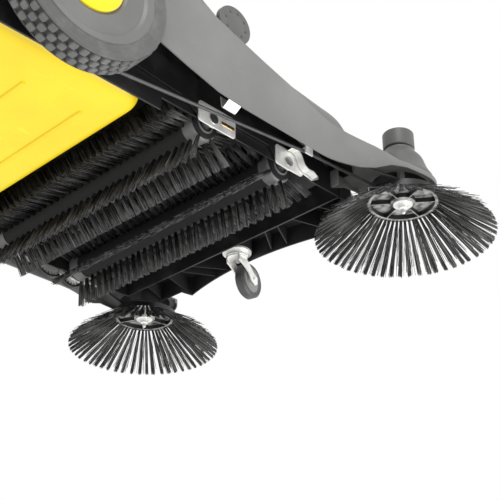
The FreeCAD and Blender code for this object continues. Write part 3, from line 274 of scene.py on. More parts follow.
def ring_finish():
    """Black moulding whose downward faces are painted grey in noisy patches, a painted highlight of the light from
    below: the share of grey follows how far a face looks down.
    """
    skin = Finish("ring_moulding_painted_underside_light", IOR=1.5)
    normal = skin.node("ShaderNodeNewGeometry").outputs["Normal"]
    upward = Value(skin, skin.node("ShaderNodeSeparateXYZ", inputs={0: normal}).outputs[2])
    # Painted light: faces that look down are painted grey in noisy patches, a painted highlight of the light from
    # below.
    wear_and_painted_light = (1 - upward.between(-0.95, -0.6)) * skin.noise(0.012, detail=4).between(0.25, 0.7)
    grain = skin.noise(0.5 * MM, detail=2)
    return skin.paint(skin.mix(wear_and_painted_light, (0.014, 0.014, 0.014), (0.42, 0.42, 0.41)), grain * 0.15 + 0.28, grain,
                      0.03 * MM)


ring_nylon = ring_finish()
core_plastic = moulded("roller_core_plastic", (0.004, 0.004, 0.004), (0.008, 0.008, 0.008), 0.80)
hub_plastic = moulded("roller_hub_plastic", (0.10, 0.10, 0.10), (0.17, 0.17, 0.165), 0.40)
print("plastics", side_lit_panel_plastic.name, yellow_plastic.name)

# %% [markdown]
# ## Sheet metal, zinc, steel and brass
#
# The black sheets are powder coated, which gives the skin of an orange at two millimetres. Brackets are zinc
# plated: bright, with soft clouds and fine rolling lines. Turned shafts carry rings around
# their axis, which long thin noise along the other two directions imitates well.

# %% Metals
def powder_coat(name, deep, light):
    """Baked powder: soft dimples of two millimetres and a few dusty patches."""
    coat = Finish(name, IOR=1.5)
    dimples = coat.noise(2.2 * MM, detail=2)
    dust = coat.noise(0.06, detail=6, rough=0.65).between(0.48, 0.72)
    return coat.paint(coat.mix(dust, deep, light), dust * 0.16 + dimples * 0.05 + 0.33, dimples, 0.10 * MM)


def plated(name, bright, dull, rough, stretch, metallic=1.0):
    """Metal with soft clouds of tint and lines drawn along one direction."""
    metal = Finish(name, Metallic=metallic)
    clouds = metal.noise(0.014, detail=5, rough=0.6)
    lines = metal.noise(0.9 * MM, detail=3, stretch=stretch)
    spots = metal.cells(5 * MM).between(0.10, 0.75)
    tint = metal.mix(clouds.between(0.35, 0.7), bright, dull)
    return metal.paint(tint, clouds * 0.18 + lines * 0.14 + spots * 0.05 + (rough - 0.16), lines, 0.02 * MM)


black_sheet = powder_coat("black_powder_coat", (0.010, 0.010, 0.011), (0.028, 0.028, 0.028))
tube_paint = powder_coat("dark_tube_coat", (0.018, 0.018, 0.020), (0.030, 0.030, 0.031))
zinc = plated("zinc_plate", (0.92, 0.92, 0.90), (0.76, 0.75, 0.71), 0.34, (1, 0.15, 1), 0.45)
steel = plated("turned_steel", (0.66, 0.66, 0.66), (0.46, 0.46, 0.47), 0.28, (1, 0.08, 0.08))
brass = plated("drawn_brass", (0.80, 0.56, 0.24), (0.60, 0.40, 0.16), 0.30, (1, 0.10, 1))
print("metals", zinc.name, steel.name, brass.name)

# %% [markdown]
# ## Rubber, belts and the grip
#
# Tyre rubber is nearly black and never quite clean: pale dust stays in the pores. The round belts are dark
# cord with a soft shine. The grip is closed foam with small cells.

# %% Rubbers
def rubber(name, deep, dusty, rough, pore=0.7 * MM, depth=0.08 * MM, groove_shade=None):
    """Pored rubber: small cells for the bumps and clouds of dust for colour and roughness.

    With a groove shade colour, the attribute strand tells how high the tread stands and low places are painted dark:
    painted shade in the grooves."""
    skin = Finish(name, IOR=1.5)
    pores = skin.cells(pore)
    dust = skin.noise(0.03, detail=7, rough=0.7).between(0.42, 0.75)
    tint = skin.mix(dust, deep, dusty)
    if groove_shade:
        raised = Value(skin, skin.node("ShaderNodeAttribute", {"attribute_name": "strand"}).outputs["Fac"])
        # Painted shade: low places between the tread blocks are painted dark.
        tint = skin.mix(raised, groove_shade, tint)
    return skin.paint(tint, dust * 0.14 + pores * 0.10 + (rough - 0.08), pores, depth)


tyre_rubber = rubber("tyre_rubber", (0.115, 0.115, 0.112), (0.185, 0.184, 0.178), 0.48, groove_shade=(0.020, 0.020, 0.020))
caster_rubber = rubber("caster_rubber", (0.050, 0.050, 0.051), (0.095, 0.094, 0.092), 0.46)
grip_foam = rubber("grip_foam", (0.015, 0.015, 0.015), (0.032, 0.032, 0.032), 0.72, 1.4 * MM, 0.25 * MM)
belt_cord = rubber("belt_cord", (0.055, 0.055, 0.055), (0.100, 0.100, 0.098), 0.34, 1.1 * MM, 0.02 * MM)
print("rubbers", tyre_rubber.name, belt_cord.name)

# %% [markdown]
# ## Bristles
#
# A bristle is a black nylon filament, one millimetre thick and smooth, so each one shows a thin line of
# light. Filaments are never identical. A number per filament, stored in the mesh as the attribute strand,
# changes the tint and the shine from one to the next: a random tone per strand, tinted towards grey as a
# painted glint, so that a bundle doesn't melt into one mass.

# %% The bristle finish
def filament_finish(name, deep, light):
    """Glossy nylon whose tint and roughness follow the filament's own number, with patches of dust. Strands with high
    numbers are tinted towards grey as painted glints.
    """
    nylon = Finish(name, IOR=1.53)
    own = Value(nylon, nylon.node("ShaderNodeAttribute", {"attribute_name": "strand"}).outputs["Fac"])
    dust = nylon.noise(0.02, detail=4).between(0.5, 0.8)
    # A random tone per strand, tinted from black towards grey as painted glints, mixed with real patches of dust.
    tint = nylon.mix(own ** 3 * 0.8 + dust * 0.2, deep, light)
    return nylon.paint(tint, own * 0.16 + dust * 0.1 + 0.24)


bristle_nylon_painted_glints = filament_finish("bristle_nylon_painted_glints", (0.010, 0.010, 0.010), (0.26, 0.26, 0.25))
print("bristles", bristle_nylon_painted_glints.name)

# %% [markdown]
# ## Give every mechanical node its finish
#
# The mechanical pieces stay as they are. Only the material in their slots changes. A table from the
# finish to the node names keeps that in one place.

# %% Finishes for the mechanical nodes
PLAIN_FINISH = {
    side_lit_panel_plastic: ["side_panel_left", "side_panel_right"],
    cover_plastic: ["hood", "rear_cover", "brush_housing_left", "brush_housing_right", "lift_knob_left",
                    "lift_knob_right", "adjuster_disc"],
    black_plastic: ["front_panel", "handle_caps", "gear_cover", "container_handle"],
    core_plastic: ["rear_roller_core", "front_roller_core"],
    ring_plastic: ["side_brush_pulley_left", "side_brush_pulley_right", "caster_wheel"],
    ring_nylon: ["side_brush_disc_left", "side_brush_disc_right"],
    yellow_plastic: ["container_tub", "hub_cap_left", "hub_cap_right"],
    disc_plastic: ["wheel_disc_left", "wheel_disc_right"],
    pale_plastic: ["adjuster_cams", "rear_roller_gear", "front_roller_gear", "idler_gear_rear",
                   "idler_gear_front"],
    black_sheet: ["side_wall_left", "side_wall_right", "chamber_cover", "swing_arm_left", "swing_arm_right"],
    zinc: ["roller_bearings", "belt_guides", "caster_plate", "caster_fork", "handle_brackets", "cover_screws",
           "bearing_plates", "side_brush_spindle_left", "side_brush_spindle_right"],
    steel: ["wheel_axles", "adjuster_shaft", "rear_roller_shaft", "front_roller_shaft"],
    brass: ["brass_strips"],
    belt_cord: ["side_brush_belts", "roller_belt"],
    tyre_rubber: ["tyre_left", "tyre_right"],
    caster_rubber: ["caster_tyre"],
    tube_paint: ["push_handle_tube"],
    grip_foam: ["push_handle_grip"],
    bristle_nylon_painted_glints: ["rear_roller_bristles", "front_roller_bristles", "side_brush_bristles_left",
                    "side_brush_bristles_right"],
}
dressed = 0
for finish, nodes in PLAIN_FINISH.items():
    for node in nodes:
        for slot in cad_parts[node].material_slots:
            slot.material = finish
        dressed += 1
print("dressed nodes", dressed, "of", len(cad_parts))

# %% [markdown]
# ## Filaments as thin three-sided rods
#
# Hair curves would be lost when the model is exported, so each bristle is a real closed rod with three sides.
# It needs only three rings: at the root, at the middle, where it may bend, and at the tip. Three sides are
# enough, because smooth shading rounds them and a rod is a millimetre thick.

# %% Many rods at once
POINTS_PER_ROD = 9


def rods(roots, tips, bend, root_radius, tip_radius):
    """Closed three-sided rods from arrays of roots and tips, each (n, 3).

    A point at share t of the way is root + (tip - root) * t + bend * 4 * t * (1 - t). Around it lie three
    corners, 120 degrees apart in the plane across the rod, at a radius that runs from root_radius to
    tip_radius. Returns the points and the triangles."""
    count = len(roots)
    along = tips - roots
    length = np.linalg.norm(along, axis=1, keepdims=True)
    forward = along / length
    helper = np.where(np.abs(forward[:, 2:3]) < 0.8, [[0.0, 0.0, 1.0]], [[1.0, 0.0, 0.0]])
    side = np.cross(forward, helper)
    side /= np.linalg.norm(side, axis=1, keepdims=True)
    up = np.cross(forward, side)
    share = np.array([0.0, 0.5, 1.0])[None, :, None, None]
    turn = (np.arange(3) * 2 * math.pi / 3)[None, None, :, None]
    line = roots[:, None, None, :] + along[:, None, None, :] * share + bend[:, None, None, :] * 4 * share * (1 - share)
    radius = root_radius + (tip_radius - root_radius) * share
    points = line + radius * (np.cos(turn) * side[:, None, None, :] + np.sin(turn) * up[:, None, None, :])
    faces = []
    for ring in (0, 3):
        for k in range(3):
            a, b = ring + k, ring + (k + 1) % 3
            faces += [(a, b, b + 3), (a, b + 3, a + 3)]
    faces += [(2, 1, 0), (6, 7, 8)]
    first = (np.arange(count) * POINTS_PER_ROD)[:, None, None]
    return points.reshape(-1, 3), (np.array(faces)[None] + first).reshape(-1, 3)


def strand_numbers(count):
    """One random number per rod, the same at its nine corners."""
    return np.repeat(chance.random(count), POINTS_PER_ROD)


example, corners = rods(np.zeros((1, 3)), np.array([[0.0, 0, 1]]), np.zeros((1, 3)), 0.01, 0.01)
print("one rod has", len(example), "points and", len(corners), "triangles")

# %% [markdown]
# ## The two roller brushes
#
# Each roller carries six straight rows of tufts. A tuft is a bundle pressed into one hole: narrow at the
# core and open like a small fan at the tip, so neighbouring tips almost meet while the roots stay apart. The
# outermost tufts lean outwards and sweep close to the side walls.

# %% Tufts on the rollers
ROWS = 6
TUFTS_PER_ROW = 32
STRANDS_PER_TUFT = 42
TUFT_LENGTH = 46.5 * MM
HOLE_RADIUS = 2.8 * MM
END_MARGIN = 6 * MM


def roller_tufts(name, core, rows_node, first_turn, body):
    """Six rows of fanned tufts around a core.

    A strand of the tuft at x starts at the core's radius and ends at the tip radius, in the direction
    turned by the row's angle about the axle. Its root is up to 2.8 mm off the hole's middle, its tip is
    about 1.55 times as far off, and the outermost tufts lean out by up to 9 mm and are painted paler, a
    painted glint on the end strands."""
    axis = middle(core)
    core_radius = half_size(core)[2]
    reach = half_size(core)[0]
    tip_radius = core_radius + TUFT_LENGTH
    rows, tufts, _ = np.meshgrid(np.arange(ROWS), np.arange(TUFTS_PER_ROW), np.arange(STRANDS_PER_TUFT), indexing="ij")
    rows, tufts = rows.ravel(), tufts.ravel()
    count = len(rows)
    along = (tufts / (TUFTS_PER_ROW - 1) * 2 - 1) * (reach - END_MARGIN)
    spot_angle = chance.random(count) * 2 * math.pi
    spot = np.sqrt(chance.random(count)) * HOLE_RADIUS
    off_x, off_side = spot * np.cos(spot_angle), spot * np.sin(spot_angle)
    lean = np.sign(along) * np.clip((np.abs(along) / reach - 0.86) / 0.14, 0, 1) * chance.uniform(2, 9, count) * MM
    turn = np.radians(first_turn + 360 / ROWS * rows) + chance.normal(0, 0.012, count)
    radial = np.stack([np.zeros(count), -np.sin(turn), np.cos(turn)], 1)
    around = np.stack([np.zeros(count), np.cos(turn), np.sin(turn)], 1)
    sideways = np.array([1.0, 0, 0])
    roots = axis + sideways * (along + off_x)[:, None] + radial * core_radius + around * off_side[:, None]
    tip_reach = tip_radius - chance.random(count) ** 2 * 3.5 * MM
    spread = 1.55 + chance.normal(0, 0.22, count)
    tips = (axis + sideways * (along + off_x * spread + lean)[:, None] + radial * tip_reach[:, None]
            + around * (off_side * 1.9)[:, None])
    bend = chance.normal(0, 0.5 * MM, (count, 3))
    points, faces = rods(roots, tips, bend, 0.60 * MM, 0.52 * MM)
    numbers = strand_numbers(count)
    outermost = np.clip((np.abs(along) / reach - 0.94) / 0.04, 0, 1)
    # The outermost strands get higher numbers, so their painted glint is brighter.
    end_glint_numbers = np.repeat(outermost * chance.uniform(0.3, 1.0, count), POINTS_PER_ROD)
    piece = new_piece(name, points, faces, bristle_nylon_painted_glints, body, numbers=np.maximum(numbers * 0.85, end_glint_numbers))
    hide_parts(rows_node)
    return piece


rear_tufts = roller_tufts("rear_roller_tufts", "rear_roller_core", "rear_roller_bristles", 20, "rear_roller")
front_tufts = roller_tufts("front_roller_tufts", "front_roller_core", "front_roller_bristles", 50, "front_roller")
print("roller strands", [len(p.data.vertices) // POINTS_PER_ROD for p in (rear_tufts, front_tufts)])

# %% [markdown]
# ## The side brushes
#
# A side brush is a ring of flat bundles that slope down and out to the floor like the ribs of an umbrella.
# From below, light shows through the gaps between the bundles. Each bundle is a few millimetres thick and
# opens a little towards its end, and its strands end unevenly.

# %% Flat bundles around a ring
BUNDLES = 56
STRANDS_PER_BUNDLE = 58
ROOT_SHARE = 0.385
STRAY_SHARE, BUSHY_SHARE = 0.06, 0.16


def side_tufts(side):
    """Bundles at equal angles around the spindle.

    A strand goes from the ring's lower face, at 0.385 of the rim's radius, to the rim near the floor. Its
    place across the bundle runs from -1 to 1: 1.7 mm per unit at the root, 3.1 mm at the tip. Six strands in
    a hundred are strays that lean sideways and bow upwards, and sixteen in a hundred end up to 15 mm above
    the rim, which gives the brush its bushy back."""
    low, high = (np.array(c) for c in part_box("side_brush_bristles_" + side))
    axis = (low + high) / 2
    rim = (high[0] - low[0]) / 2
    ring = np.array(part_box("side_brush_disc_" + side)[0])[2]
    bundles = np.repeat(np.arange(BUNDLES), STRANDS_PER_BUNDLE)
    count = len(bundles)
    turn = (bundles + 0.3) * 2 * math.pi / BUNDLES + chance.normal(0, 0.010, BUNDLES)[bundles]
    offset = chance.uniform(-1, 1, count)
    layer = chance.uniform(-1, 1, count)
    outward = np.stack([np.cos(turn), np.sin(turn), np.zeros(count)], 1)
    across_way = np.stack([-np.sin(turn), np.cos(turn), np.zeros(count)], 1)
    centre = np.array([axis[0], axis[1], 0])
    up = np.array([0, 0, 1.0])
    shorter = chance.random(count) ** 3 * 6 * MM
    root_z = ring + 2.0 * MM + layer * 1.5 * MM
    tip_z = low[2] + 2.5 * MM + layer * 2.0 * MM + shorter * 0.7
    stray = (chance.random(count) < STRAY_SHARE)[:, None]
    roots = centre + outward * (rim * ROOT_SHARE) + across_way * (offset * 1.7 * MM)[:, None] + up * root_z[:, None]
    tips = (centre + outward * (rim - 0.5 * MM - shorter)[:, None]
            + across_way * (offset * 3.1 * MM + chance.normal(0, 0.6 * MM, count))[:, None] + up * tip_z[:, None])
    tips += stray * across_way * chance.normal(0, 7 * MM, count)[:, None]
    bushy = (chance.random(count) < BUSHY_SHARE)[:, None]
    tips += bushy * (up * chance.uniform(4, 15, count)[:, None] - outward * chance.uniform(0, 12, count)[:, None]
                     + across_way * chance.normal(0, 3, count)[:, None]) * MM
    bend = chance.normal(0, 0.6 * MM, (count, 3)) + stray * up * chance.uniform(0, 5 * MM, count)[:, None]
    points, faces = rods(roots, tips, bend, 0.50 * MM, 0.42 * MM)
    piece = new_piece("side_tufts_" + side, points, faces, bristle_nylon_painted_glints, "brush_" + side,
                      numbers=strand_numbers(count))
    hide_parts("side_brush_bristles_" + side)
    return piece


for side in ("left", "right"):
    piece = side_tufts(side)
    print(piece.name, "strands", len(piece.data.vertices) // POINTS_PER_ROD)

# %% [markdown]
# ## The tyres
#
# The tread has three staggered rings of rounded blocks with grooves between them. A tyre is a profile turned
# round the axle, and the tread is a height added to the radius: high inside a block, low in the grooves,
# with a smooth step at the edges. Enough rings of points make the steps crisp.

# %% A treaded tyre
BLOCKS_AROUND = 46
RINGS_PER_BLOCK = 12
TREAD_DEPTH = 3.2 * MM
TREAD_POINTS = 64
WALL_STEP = 1.5 * MM


def block_height(turn, across):
    """Height of the tread from 0 in a groove to 1 on a block.

    across runs from -1 to 1 over the tread and has three lanes. In each lane the blocks repeat around the
    wheel and the middle lane is shifted by half a block. The distance from the block's middle is the fifth
    root of the sum of the fifth powers of its two parts, each as a share of the block. The height is 1 while
    that distance is below 0.88 and falls to 0 as the square of the way from there to 1.04."""
    lane = np.clip(np.floor((across + 1) * 1.5), 0, 2)
    in_lane = (across + 1) * 1.5 - lane - 0.5
    phase = turn / (2 * math.pi) * BLOCKS_AROUND + np.where(lane == 1, 0.5, 0.0)
    in_block = phase - np.floor(phase) - 0.5
    away = (np.abs(in_lane / 0.44) ** 5 + np.abs(in_block / 0.34) ** 5) ** 0.2
    return 1 - np.clip((away - 0.88) / 0.16, 0, 1) ** 2


def tyre_piece(side):
    """Profile of a tyre turned about its axle: flat tread with round shoulders, low walls and an inner bore."""
    node = "tyre_" + side
    centre, half = middle(node), half_size(node)
    radius, width = half[2], half[0]
    bore = half_size("wheel_disc_" + side)[2]
    tread = np.linspace(-1, 1, TREAD_POINTS)
    shoulder = np.radians(np.linspace(0, 90, 7))[1:]
    corner = 5 * MM
    flat = width - corner
    profile_x = np.concatenate([-flat - corner * np.sin(shoulder[::-1]), tread * flat, flat + corner * np.sin(shoulder),
                                [width, width - WALL_STEP, width - WALL_STEP, width],
                                [0.0, -width], [-width + WALL_STEP, -width + WALL_STEP, -width]])
    round_r = radius - corner * (1 - np.cos(shoulder))
    wall = radius - bore
    profile_r = np.concatenate([round_r[::-1], np.full(TREAD_POINTS, radius), round_r,
                                [radius - wall * 0.42, radius - wall * 0.50, radius - wall * 0.78, bore],
                                [bore, bore], [radius - wall * 0.78, radius - wall * 0.50, radius - wall * 0.42]])
    tread_part = np.zeros(len(profile_x))
    tread_part[4:TREAD_POINTS + 8] = 1
    turns = np.linspace(0, 2 * math.pi, BLOCKS_AROUND * RINGS_PER_BLOCK, endpoint=False)
    across = np.clip(profile_x / (flat + corner * 0.55), -1, 1)
    height = block_height(turns[:, None], across[None, :]) * tread_part[None, :]
    reach = profile_r[None, :] - TREAD_DEPTH * (1 - height) * tread_part[None, :]
    points = np.stack([np.broadcast_to(centre[0] + profile_x[None, :], reach.shape),
                       centre[1] + reach * np.cos(turns)[:, None], centre[2] + reach * np.sin(turns)[:, None]], -1)
    faces = grid_faces(len(turns), len(profile_x), wrap_rows=True, wrap_columns=True)
    # Points off the tread take a quarter of the painted groove shade.
    raised = np.where(tread_part[None, :] > 0, height, 0.75)
    piece = new_piece("treaded_" + node, points, faces[:, ::-1], tyre_rubber, "wheel_" + side, numbers=raised)
    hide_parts(node)
    return piece


for side in ("left", "right"):
    piece = tyre_piece(side)
    print(piece.name, "faces", len(piece.data.polygons))

# %% [markdown]
# ## Turned covers: the bells and knobs
#
# The bell over a side brush and the knob on it are round mouldings with soft edges. Such a shape is one
# outline turned about an upright axis. Corners of the outline are rounded by walking through it with short
# quadratic arcs, which gives the soft highlight that a moulded edge has.

# %% Rounded outlines turned about an axis
def soften(outline, radius, steps=5):
    """Replaces each corner of a closed outline by an arc.

    The arc starts and ends on the two sides, at most radius from the corner and never past 0.45 of the
    side, and bends as the quadratic curve whose middle handle is the corner."""
    outline = np.asarray(outline, dtype=float)
    before, after = np.roll(outline, 1, 0), np.roll(outline, -1, 0)
    to_before, to_after = before - outline, after - outline
    far_before = np.linalg.norm(to_before, axis=1, keepdims=True)
    far_after = np.linalg.norm(to_after, axis=1, keepdims=True)
    start = outline + to_before / far_before * np.minimum(radius, 0.45 * far_before)
    end = outline + to_after / far_after * np.minimum(radius, 0.45 * far_after)
    t = np.linspace(0, 1, steps)[None, :, None]
    arcs = start[:, None] * (1 - t) ** 2 + 2 * outline[:, None] * t * (1 - t) + end[:, None] * t ** 2
    return arcs.reshape(-1, 2)


def turned(name, outline, centre, finish, body, axis="Z", radius=1.2 * MM, around=96):
    """Turns a closed (r, h) outline about an axis through centre. h runs along the axis."""
    ring = soften(outline, radius)
    turns = np.linspace(0, 2 * math.pi, around, endpoint=False)[:, None]
    r, h = ring[None, :, 0], ring[None, :, 1] + turns * 0
    c, s = r * np.cos(turns), r * np.sin(turns)
    parts = {"Z": (c, s, h), "X": (h, c, s)}[axis]
    points = np.stack(parts, -1) + np.array(centre)
    area = np.sum(ring[:, 0] * np.roll(ring[:, 1], -1) - np.roll(ring[:, 0], -1) * ring[:, 1])
    faces = grid_faces(around, len(ring), wrap_rows=True, wrap_columns=True)
    faces = faces if area < 0 else faces[:, ::-1]
    return new_piece(name, points, faces, finish, body)


print("softened square has", len(soften([(0, 0), (1, 0), (1, 1), (0, 1)], 0.1)), "points")

# %% Bells, knobs and roller hubs
def bell_piece(side):
    """Wide bell whose radius falls from the foot to the neck, drawn as a share of the node's height."""
    node = "brush_housing_" + side
    low, high = (np.array(c, dtype=float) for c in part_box(node))
    foot, tall = half_size(node)[0], high[2] - low[2]
    outer = [(0.88, 0.0), (0.87, 0.12), (0.75, 0.31), (0.68, 0.49), (0.62, 0.69), (0.48, 0.85), (0.42, 0.95),
             (0.42, 1.0)]
    inner = [(0.12, 1.0), (0.12, 0.93), (0.38, 0.88), (0.56, 0.66), (0.62, 0.46), (0.69, 0.28), (0.80, 0.10),
             (0.82, 0.0)]
    outline = [(r * foot, h * tall) for r, h in outer + inner]
    piece = turned("bell_" + side, outline, (*middle(node)[:2], low[2]), cover_plastic, "chassis", radius=6 * MM)
    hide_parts(node)
    return piece


def knob_piece(side):
    """Plain knob with a rounded top edge and a socket below for its spindle."""
    node = "lift_knob_" + side
    low, high = (np.array(c, dtype=float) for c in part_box(node))
    r, tall, socket = half_size(node)[0] * 1.07, high[2] - low[2], 6.2 * MM
    outline = [(0.0, tall), (r, tall), (r, 0.0), (socket, 0.0), (socket, 12.5 * MM), (0.0, 12.5 * MM)]
    piece = turned("knob_" + side, outline, (*middle(node)[:2], low[2]), cover_plastic, "carrier_" + side,
                   radius=2.2 * MM)
    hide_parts(node)
    return piece


def roller_hub(roller, end):
    """Pale cone that closes a roller core at one end and carries the outermost tufts."""
    core = roller + "_core"
    centre, half = middle(core), half_size(core)
    r, x = half[2], half[0]
    outline = [(r * 0.55, x + 1 * MM), (r * 0.62, x + 1 * MM), (r * 1.14, x - 6 * MM), (r * 1.14, x - 9 * MM),
               (r * 1.06, x - 26 * MM), (r * 1.01, x - 26 * MM), (r * 0.55, x - 2 * MM)]
    outline = [(ring, end * h) for ring, h in outline]
    return turned("hub_%s_%s" % (roller, "left" if end > 0 else "right"), outline, (0.0, centre[1], centre[2]),
                  hub_plastic, roller, axis="X", radius=1.0 * MM, around=48)


for side in ("left", "right"):
    print(bell_piece(side).name, knob_piece(side).name)
for roller in ("rear_roller", "front_roller"):
    print([roller_hub(roller, end).name for end in (-1, 1)])

# %% [markdown]
# ## Soft edges on the moulded and bent pieces
#
# No moulding or bent sheet has a perfectly sharp edge. A narrow rounding catches a line of light, and that line
# tells the eye how big a piece is. The shape is taken from the mechanical node, its sharp edges are cut back
# and filled with narrow faces, and the copy stands in for the node.

# %% Copies with rounded edges
JOIN_DISTANCE = 0.01 * MM
FLAT_ANGLE, EDGE_ANGLE, SHADE_ANGLE = math.radians(1), math.radians(32), math.radians(38)
PANEL_FACE = 316 * MM
EAR_SHRINK = 0.21
FLARE_START, FLARE_LENGTH = 30 * MM, 130 * MM
NOSE_SHRINK = 0.2


def draw_in_ear(points):
    """Moves the points of a side panel so that the ear hugs its bell.

    Beyond the panel's face the sideways reach shrinks to 0.79, fading out over the flare, and ahead of the
    spindle the points come back to 0.8 of their distance from it."""
    side = np.sign(points[:, 0].mean())
    spindle = middle("side_brush_spindle_left")[1]
    out = np.clip(side * points[:, 0] - PANEL_FACE, 0, None)
    share = 1 - np.clip((points[:, 1] - spindle - FLARE_START) / FLARE_LENGTH, 0, 1)
    points[:, 0] -= side * out * EAR_SHRINK * share
    points[:, 1] += np.clip(spindle - points[:, 1], 0, None) * NOSE_SHRINK
    return points


def softened(node, width, finish, body, slot, reshape=None):
    """Copy of a node whose edges are rounded by width, and whose points may be moved by reshape.

    Points within a hundredth of a millimetre are joined and neighbouring faces within one degree become one.
    Every edge where the faces turn by more than 32 degrees is then replaced by two narrow faces."""
    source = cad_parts[node]
    shape = bmesh.new()
    shape.from_mesh(source.data)
    shape.transform(source.matrix_world)
    bmesh.ops.remove_doubles(shape, verts=shape.verts, dist=JOIN_DISTANCE)
    bmesh.ops.dissolve_limit(shape, angle_limit=FLAT_ANGLE, verts=shape.verts, edges=shape.edges)
    sharp = [e for e in shape.edges if len(e.link_faces) == 2 and e.calc_face_angle(0) > EDGE_ANGLE]
    bmesh.ops.bevel(shape, geom=sharp, offset=width, segments=2, profile=0.5, affect="EDGES", clamp_overlap=True)
    bmesh.ops.triangulate(shape, faces=shape.faces)
    mesh = bpy.data.meshes.new("soft_" + node)
    shape.to_mesh(mesh)
    shape.free()
    if reshape:
        points = np.empty(len(mesh.vertices) * 3, dtype=np.float32)
        mesh.vertices.foreach_get("co", points)
        mesh.vertices.foreach_set("co", reshape(points.reshape(-1, 3)).ravel())
        mesh.update()
    mesh.polygons.foreach_set("use_smooth", np.full(len(mesh.polygons), True))
    mesh.set_sharp_from_angle(angle=SHADE_ANGLE)
    mesh.materials.append(finish)
    piece = bpy.data.objects.new("soft_" + node, mesh)
    bpy.context.scene.collection.objects.link(piece)
    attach(piece, body)
    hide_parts(node)
    return piece


SOFT_NODES = {
    "side_panel_left": (1.0, side_lit_panel_plastic, "chassis", "dark_plastic", draw_in_ear),
    "side_panel_right": (1.0, side_lit_panel_plastic, "chassis", "dark_plastic", draw_in_ear),
    "rear_cover": (1.0, cover_plastic, "chassis", "dark_plastic"),
    "front_panel": (0.6, black_plastic, "chassis", "black_plastic"),
    "bearing_plates": (0.5, zinc, "cradle", "zinc"),
    "belt_guides": (0.5, zinc, "chassis", "zinc"),
    "handle_brackets": (0.6, black_sheet, "chassis", "zinc"),
    "caster_fork": (0.5, zinc, "caster_swivel", "zinc"),
    "adjuster_disc": (0.8, cover_plastic, "adjuster", "black_plastic"),
}
for node, (width, *rest) in SOFT_NODES.items():
    piece = softened(node, width * MM, *rest)
    print(piece.name, "triangles", len(piece.data.polygons))

# %% [markdown]
# ## The domed hood
#
# The hood's cross section is a flattened arch: a superellipse whose corners fill out towards the back, where it
# meets the flat cover. A few stations along the machine give its foot, half width, shoulder, flank and crown.
# Every row between them follows by interpolation, eased over its neighbours. The shell has an outer and an
# inner skin.

# %% A shell of superellipses
HOOD_STATIONS = np.array([
    # behind the spindle, foot, half width, shoulder, flank and crown in millimetres, and the rise's exponent
    (30, 101, 250, 104, 110, 114, 1.0),
    (54, 101, 262, 111, 153, 185, 1.0),
    (90, 102, 290, 116, 182, 209, 1.0),
    (124, 104, 308, 120, 206, 226, 1.1),
    (204, 120, 313, 139, 209, 252, 1.4),
    (290, 143, 313, 162, 215, 273, 1.8),
    (373, 165, 313, 184, 233, 292, 2.0),
    (515, 212, 313, 229, 322, 338, 1.0)])
HOOD_ROWS, ARCH_STEPS = 128, 160
HOOD_THICKNESS = 3
EASED_ROWS = 7
FLANK_PLACE = 0.83
POCKET_RADIUS, POCKET_EDGE, POCKET_WALL = 38, 4, 296


def smooth_share(value):
    """Eases a share between 0 and 1: three times its square less twice its cube, clipped first."""
    value = np.clip(value, 0, 1)
    return value * value * (3 - 2 * value)


def hood_skin(inset):
    """Points of one skin, as rows of arches from the left foot over the crown to the right foot.

    A point at angle t is at half * |cos t| ** (2 / n) sideways and shoulder + (crown - shoulder) * sin t ** q
    up, where q is steep at 1 and slanting at 2. n = ln(1 - f ** (2 / q)) / ln 0.83 puts the share f of the
    rise at 0.83 of the half width. Round the adjuster's disc the right flank stays inside a pocket."""
    behind = np.linspace(HOOD_STATIONS[0, 0], HOOD_STATIONS[-1, 0], HOOD_ROWS)
    kernel = np.hanning(2 * EASED_ROWS + 1)
    kernel = kernel / kernel.sum()
    straight = [np.interp(behind, HOOD_STATIONS[:, 0], column) for column in HOOD_STATIONS[:, 1:].T]
    foot, half, shoulder, flank, crown, rise = (
        np.convolve(np.pad(v, EASED_ROWS, mode="edge"), kernel, "valid")[:, None] for v in straight)
    share = (flank - shoulder) / (crown - shoulder)
    power = np.log(1 - share ** (2 / rise)) / math.log(FLANK_PLACE)
    t = np.linspace(0, math.pi, ARCH_STEPS)[None, :]
    x = (half - inset) * np.sign(np.cos(t)) * np.abs(np.cos(t)) ** (2 / power)
    z = shoulder + (crown - inset - shoulder) * np.clip(np.sin(t), 0, 1) ** rise
    x = np.hstack([half - inset, x, inset - half])
    z = np.hstack([foot, z, foot])
    disc = middle("adjuster_disc") / MM
    spindle = middle("side_brush_spindle_left")[1] / MM
    y = np.broadcast_to(behind[:, None] + spindle, x.shape)
    away = np.hypot(y - disc[1], z - disc[2])
    pocket = smooth_share((POCKET_RADIUS - away) / POCKET_EDGE) * (x < 0)
    x = np.where(pocket > 0, np.maximum(x, -(POCKET_WALL - inset) * pocket + x * (1 - pocket)), x)
    return np.stack([x, y, z], -1) * MM


def hood_piece():
    """Both skins joined along the feet and at the two ends."""
    outer, inner = hood_skin(0), hood_skin(HOOD_THICKNESS)[:, ::-1]
    columns = outer.shape[1]
    points = np.concatenate([outer, inner], 1)
    skins = grid_faces(HOOD_ROWS, 2 * columns, wrap_columns=True)
    k = np.arange(columns - 1)
    front = np.stack([k, 2 * columns - 1 - k, 2 * columns - 2 - k, k + 1], 1)
    rear = front[:, ::-1] + (HOOD_ROWS - 1) * 2 * columns
    piece = new_piece("domed_hood", points, np.concatenate([skins, front, rear]), cover_plastic, "chassis")
    shape = bmesh.new()
    shape.from_mesh(piece.data)
    bmesh.ops.recalc_face_normals(shape, faces=shape.faces)
    shape.to_mesh(piece.data)
    shape.free()
    piece.data.set_sharp_from_angle(angle=SHADE_ANGLE)
    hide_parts("hood")
    return piece


print(hood_piece().name)

# %% [markdown]
# ## Bent strips
#
# Three small brackets are bent from flat zinc strip: a brace behind each side panel and a hook by the right
# bearing plate. A strip is a path in a plane. Its two sides lie half a thickness to either side of the path,
# and the width is the same all along.

